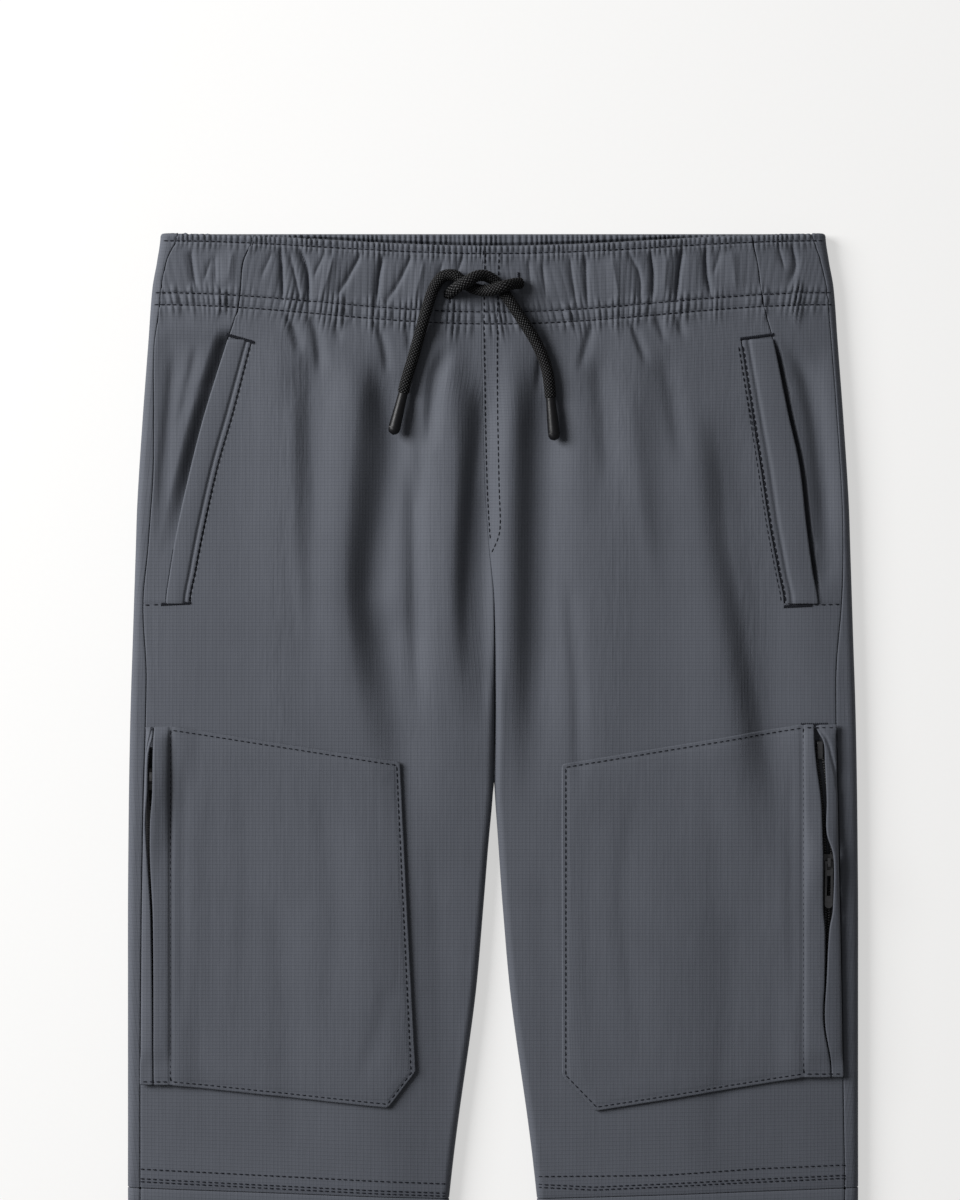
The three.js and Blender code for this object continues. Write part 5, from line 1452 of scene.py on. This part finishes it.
lines = thick_thread(across) * 0.55 + thick_thread(down) * 0.75
cloudy = stretched(1, 1, 42, 3)
streaks = stretched(640, 22, 1, 2)
weave = stretched(2600, 2600, 1, 1)
tone = cloudy * 0.24 + streaks * 0.08 + weave * 0.28 + 0.23 - lines * 0.17
ripstop.feed("Base Color", ripstop.colour((0.047, 0.051, 0.062), (0.1, 0.108, 0.129), tone))
crinkle = ripstop.node("Attribute", attribute_name="crinkle", output=2)
wrinkles = streaks * crinkle * 0.6 + stretched(230, 60, 1, 2) * crinkle * 1.3
ripstop.bump(wrinkles + weave * 0.15 + lines * 0.13, 0.0004, 0.8)
ripstop.wear(*cloth.values())

sewn = Finish("thread", Roughness=0.7, Specular_IOR_Level=0.12)
fibre = sewn.noise(2400, 1)
sewn.feed("Base Color", sewn.colour((0.004, 0.005, 0.008), (0.015, 0.016, 0.022), fibre))
sewn.bump(fibre, 0.0001, 0.5)
sewn.wear(thread)

# %% Braid, tips, tapes and castings
braid = Finish("black_braid", Roughness=0.6, Specular_IOR_Level=0.08)
on_cord = braid.node("UVMap", uv_map="cloth")
place = braid.node("Mapping", {"Vector": on_cord, "Scale": (1, 0.4, 1)})
fibre = braid.node("TexNoise", {"Vector": place, "Scale": 2600, "Detail": 2})
ridge = braid.node("Attribute", attribute_name="ridge", output=2)
# The crown of each strand is painted light grey on the black braid: a painted highlight where its glossy strands
# catch the light.
painted_strand_highlight = ridge.put("POWER", ridge, 12.0) * (fibre * 0.7 + 0.4)
braid.feed("Base Color", braid.colour((0.001, 0.001, 0.0012), (0.14, 0.14, 0.144), painted_strand_highlight))
braid.bump(fibre, 0.00025, 0.7)
braid.wear(*cords.values())

moulded = Finish("moulded_tip", Specular_IOR_Level=0.22)
speck = moulded.noise(900, 3)
moulded.feed("Base Color", moulded.colour((0.004, 0.004, 0.005), (0.009, 0.009, 0.010), speck))
moulded.feed("Roughness", speck * 0.2 + 0.3)
moulded.bump(speck, 0.0001, 0.3)
moulded.wear(*tips.values())

tape_finish = Finish("zip_tape", Roughness=0.8, Specular_IOR_Level=0.3)
on_tape = tape_finish.node("UVMap", uv_map="cloth")
rib = tape_finish.node("TexWave", {"Vector": on_tape, "Scale": 320.0, "Distortion": 0.4}, bands_direction="Y")
tape_finish.feed("Base Color", tape_finish.colour((0.005, 0.005, 0.006), (0.016, 0.016, 0.018), rib))
tape_finish.bump(rib, 0.0002, 0.6)
tape_finish.wear(*tapes)

nylon = Finish("zip_coil", Specular_IOR_Level=0.5)
speck = nylon.noise(1500, 2)
nylon.feed("Base Color", nylon.colour((0.02, 0.02, 0.022), (0.06, 0.06, 0.064), speck))
nylon.feed("Roughness", speck * 0.2 + 0.28)
nylon.wear(*coils)

enamel = Finish("dark_enamel", Specular_IOR_Level=0.5, Coat_Roughness=0.2)
speck = enamel.noise(700, 3)
enamel.feed("Base Color", enamel.colour((0.03, 0.03, 0.032), (0.08, 0.08, 0.084), speck))
enamel.feed("Roughness", speck * 0.25 + 0.22)
enamel.feed("Metallic", speck * 0.2 + 0.4)
enamel.bump(speck, 0.0001, 0.25)
enamel.wear(*castings)

# %% [markdown]
# ## Table and light
# The table is a plain off-white sheet that glows a little, so that shadows on it stay pale. One soft light
# stands low on the left and near, so that folds shade on their right side and the light falls off across the
# trousers. An even white surround fills the rest.

# %% Table and light
TABLE_SIZE, TABLE_DROP = 6, 0.0006
bpy.ops.mesh.primitive_plane_add(size=TABLE_SIZE, location=(0, 0, -TABLE_DROP))
table_top = bpy.context.object
table_top.name = "table_top"
paper = Finish("off_white_table", Roughness=0.9, Specular_IOR_Level=0.1, Emission_Strength=0.56,
               Emission_Color=(1, 0.994, 0.985, 1))
grain = paper.noise(400, 2)
paper.feed("Base Color", paper.colour((0.335, 0.333, 0.33), (0.345, 0.343, 0.34), grain))
paper.wear(table_top)


def soft_light(name, place, size, power):
    """A square area light, in metres and watts, that looks at the middle of the trousers' upper half."""
    lamp = bpy.data.objects.new(name, bpy.data.lights.new(name, "AREA"))
    lamp.data.shape, lamp.data.size, lamp.data.energy = "SQUARE", size, power
    lamp.location = place
    aim = np.array([0, 0.25, 0]) - np.array(place)
    yaw, pitch = np.arctan2(-aim[0], aim[1]), np.arctan2(np.hypot(aim[0], aim[1]), -aim[2])
    lamp.rotation_euler = (pitch, 0, yaw)
    bpy.context.scene.collection.objects.link(lamp)
    return lamp


soft_light("key", (-1.6, 0.95, 1.05), 1.15, 75)
world = bpy.data.worlds.new("surround")
world.use_nodes = True
background = world.node_tree.nodes["Background"].inputs
background["Color"].default_value, background["Strength"].default_value = (1, 1, 1, 1), 0.2
bpy.context.scene.world = world
bpy.context.scene.view_settings.view_transform = "Standard"
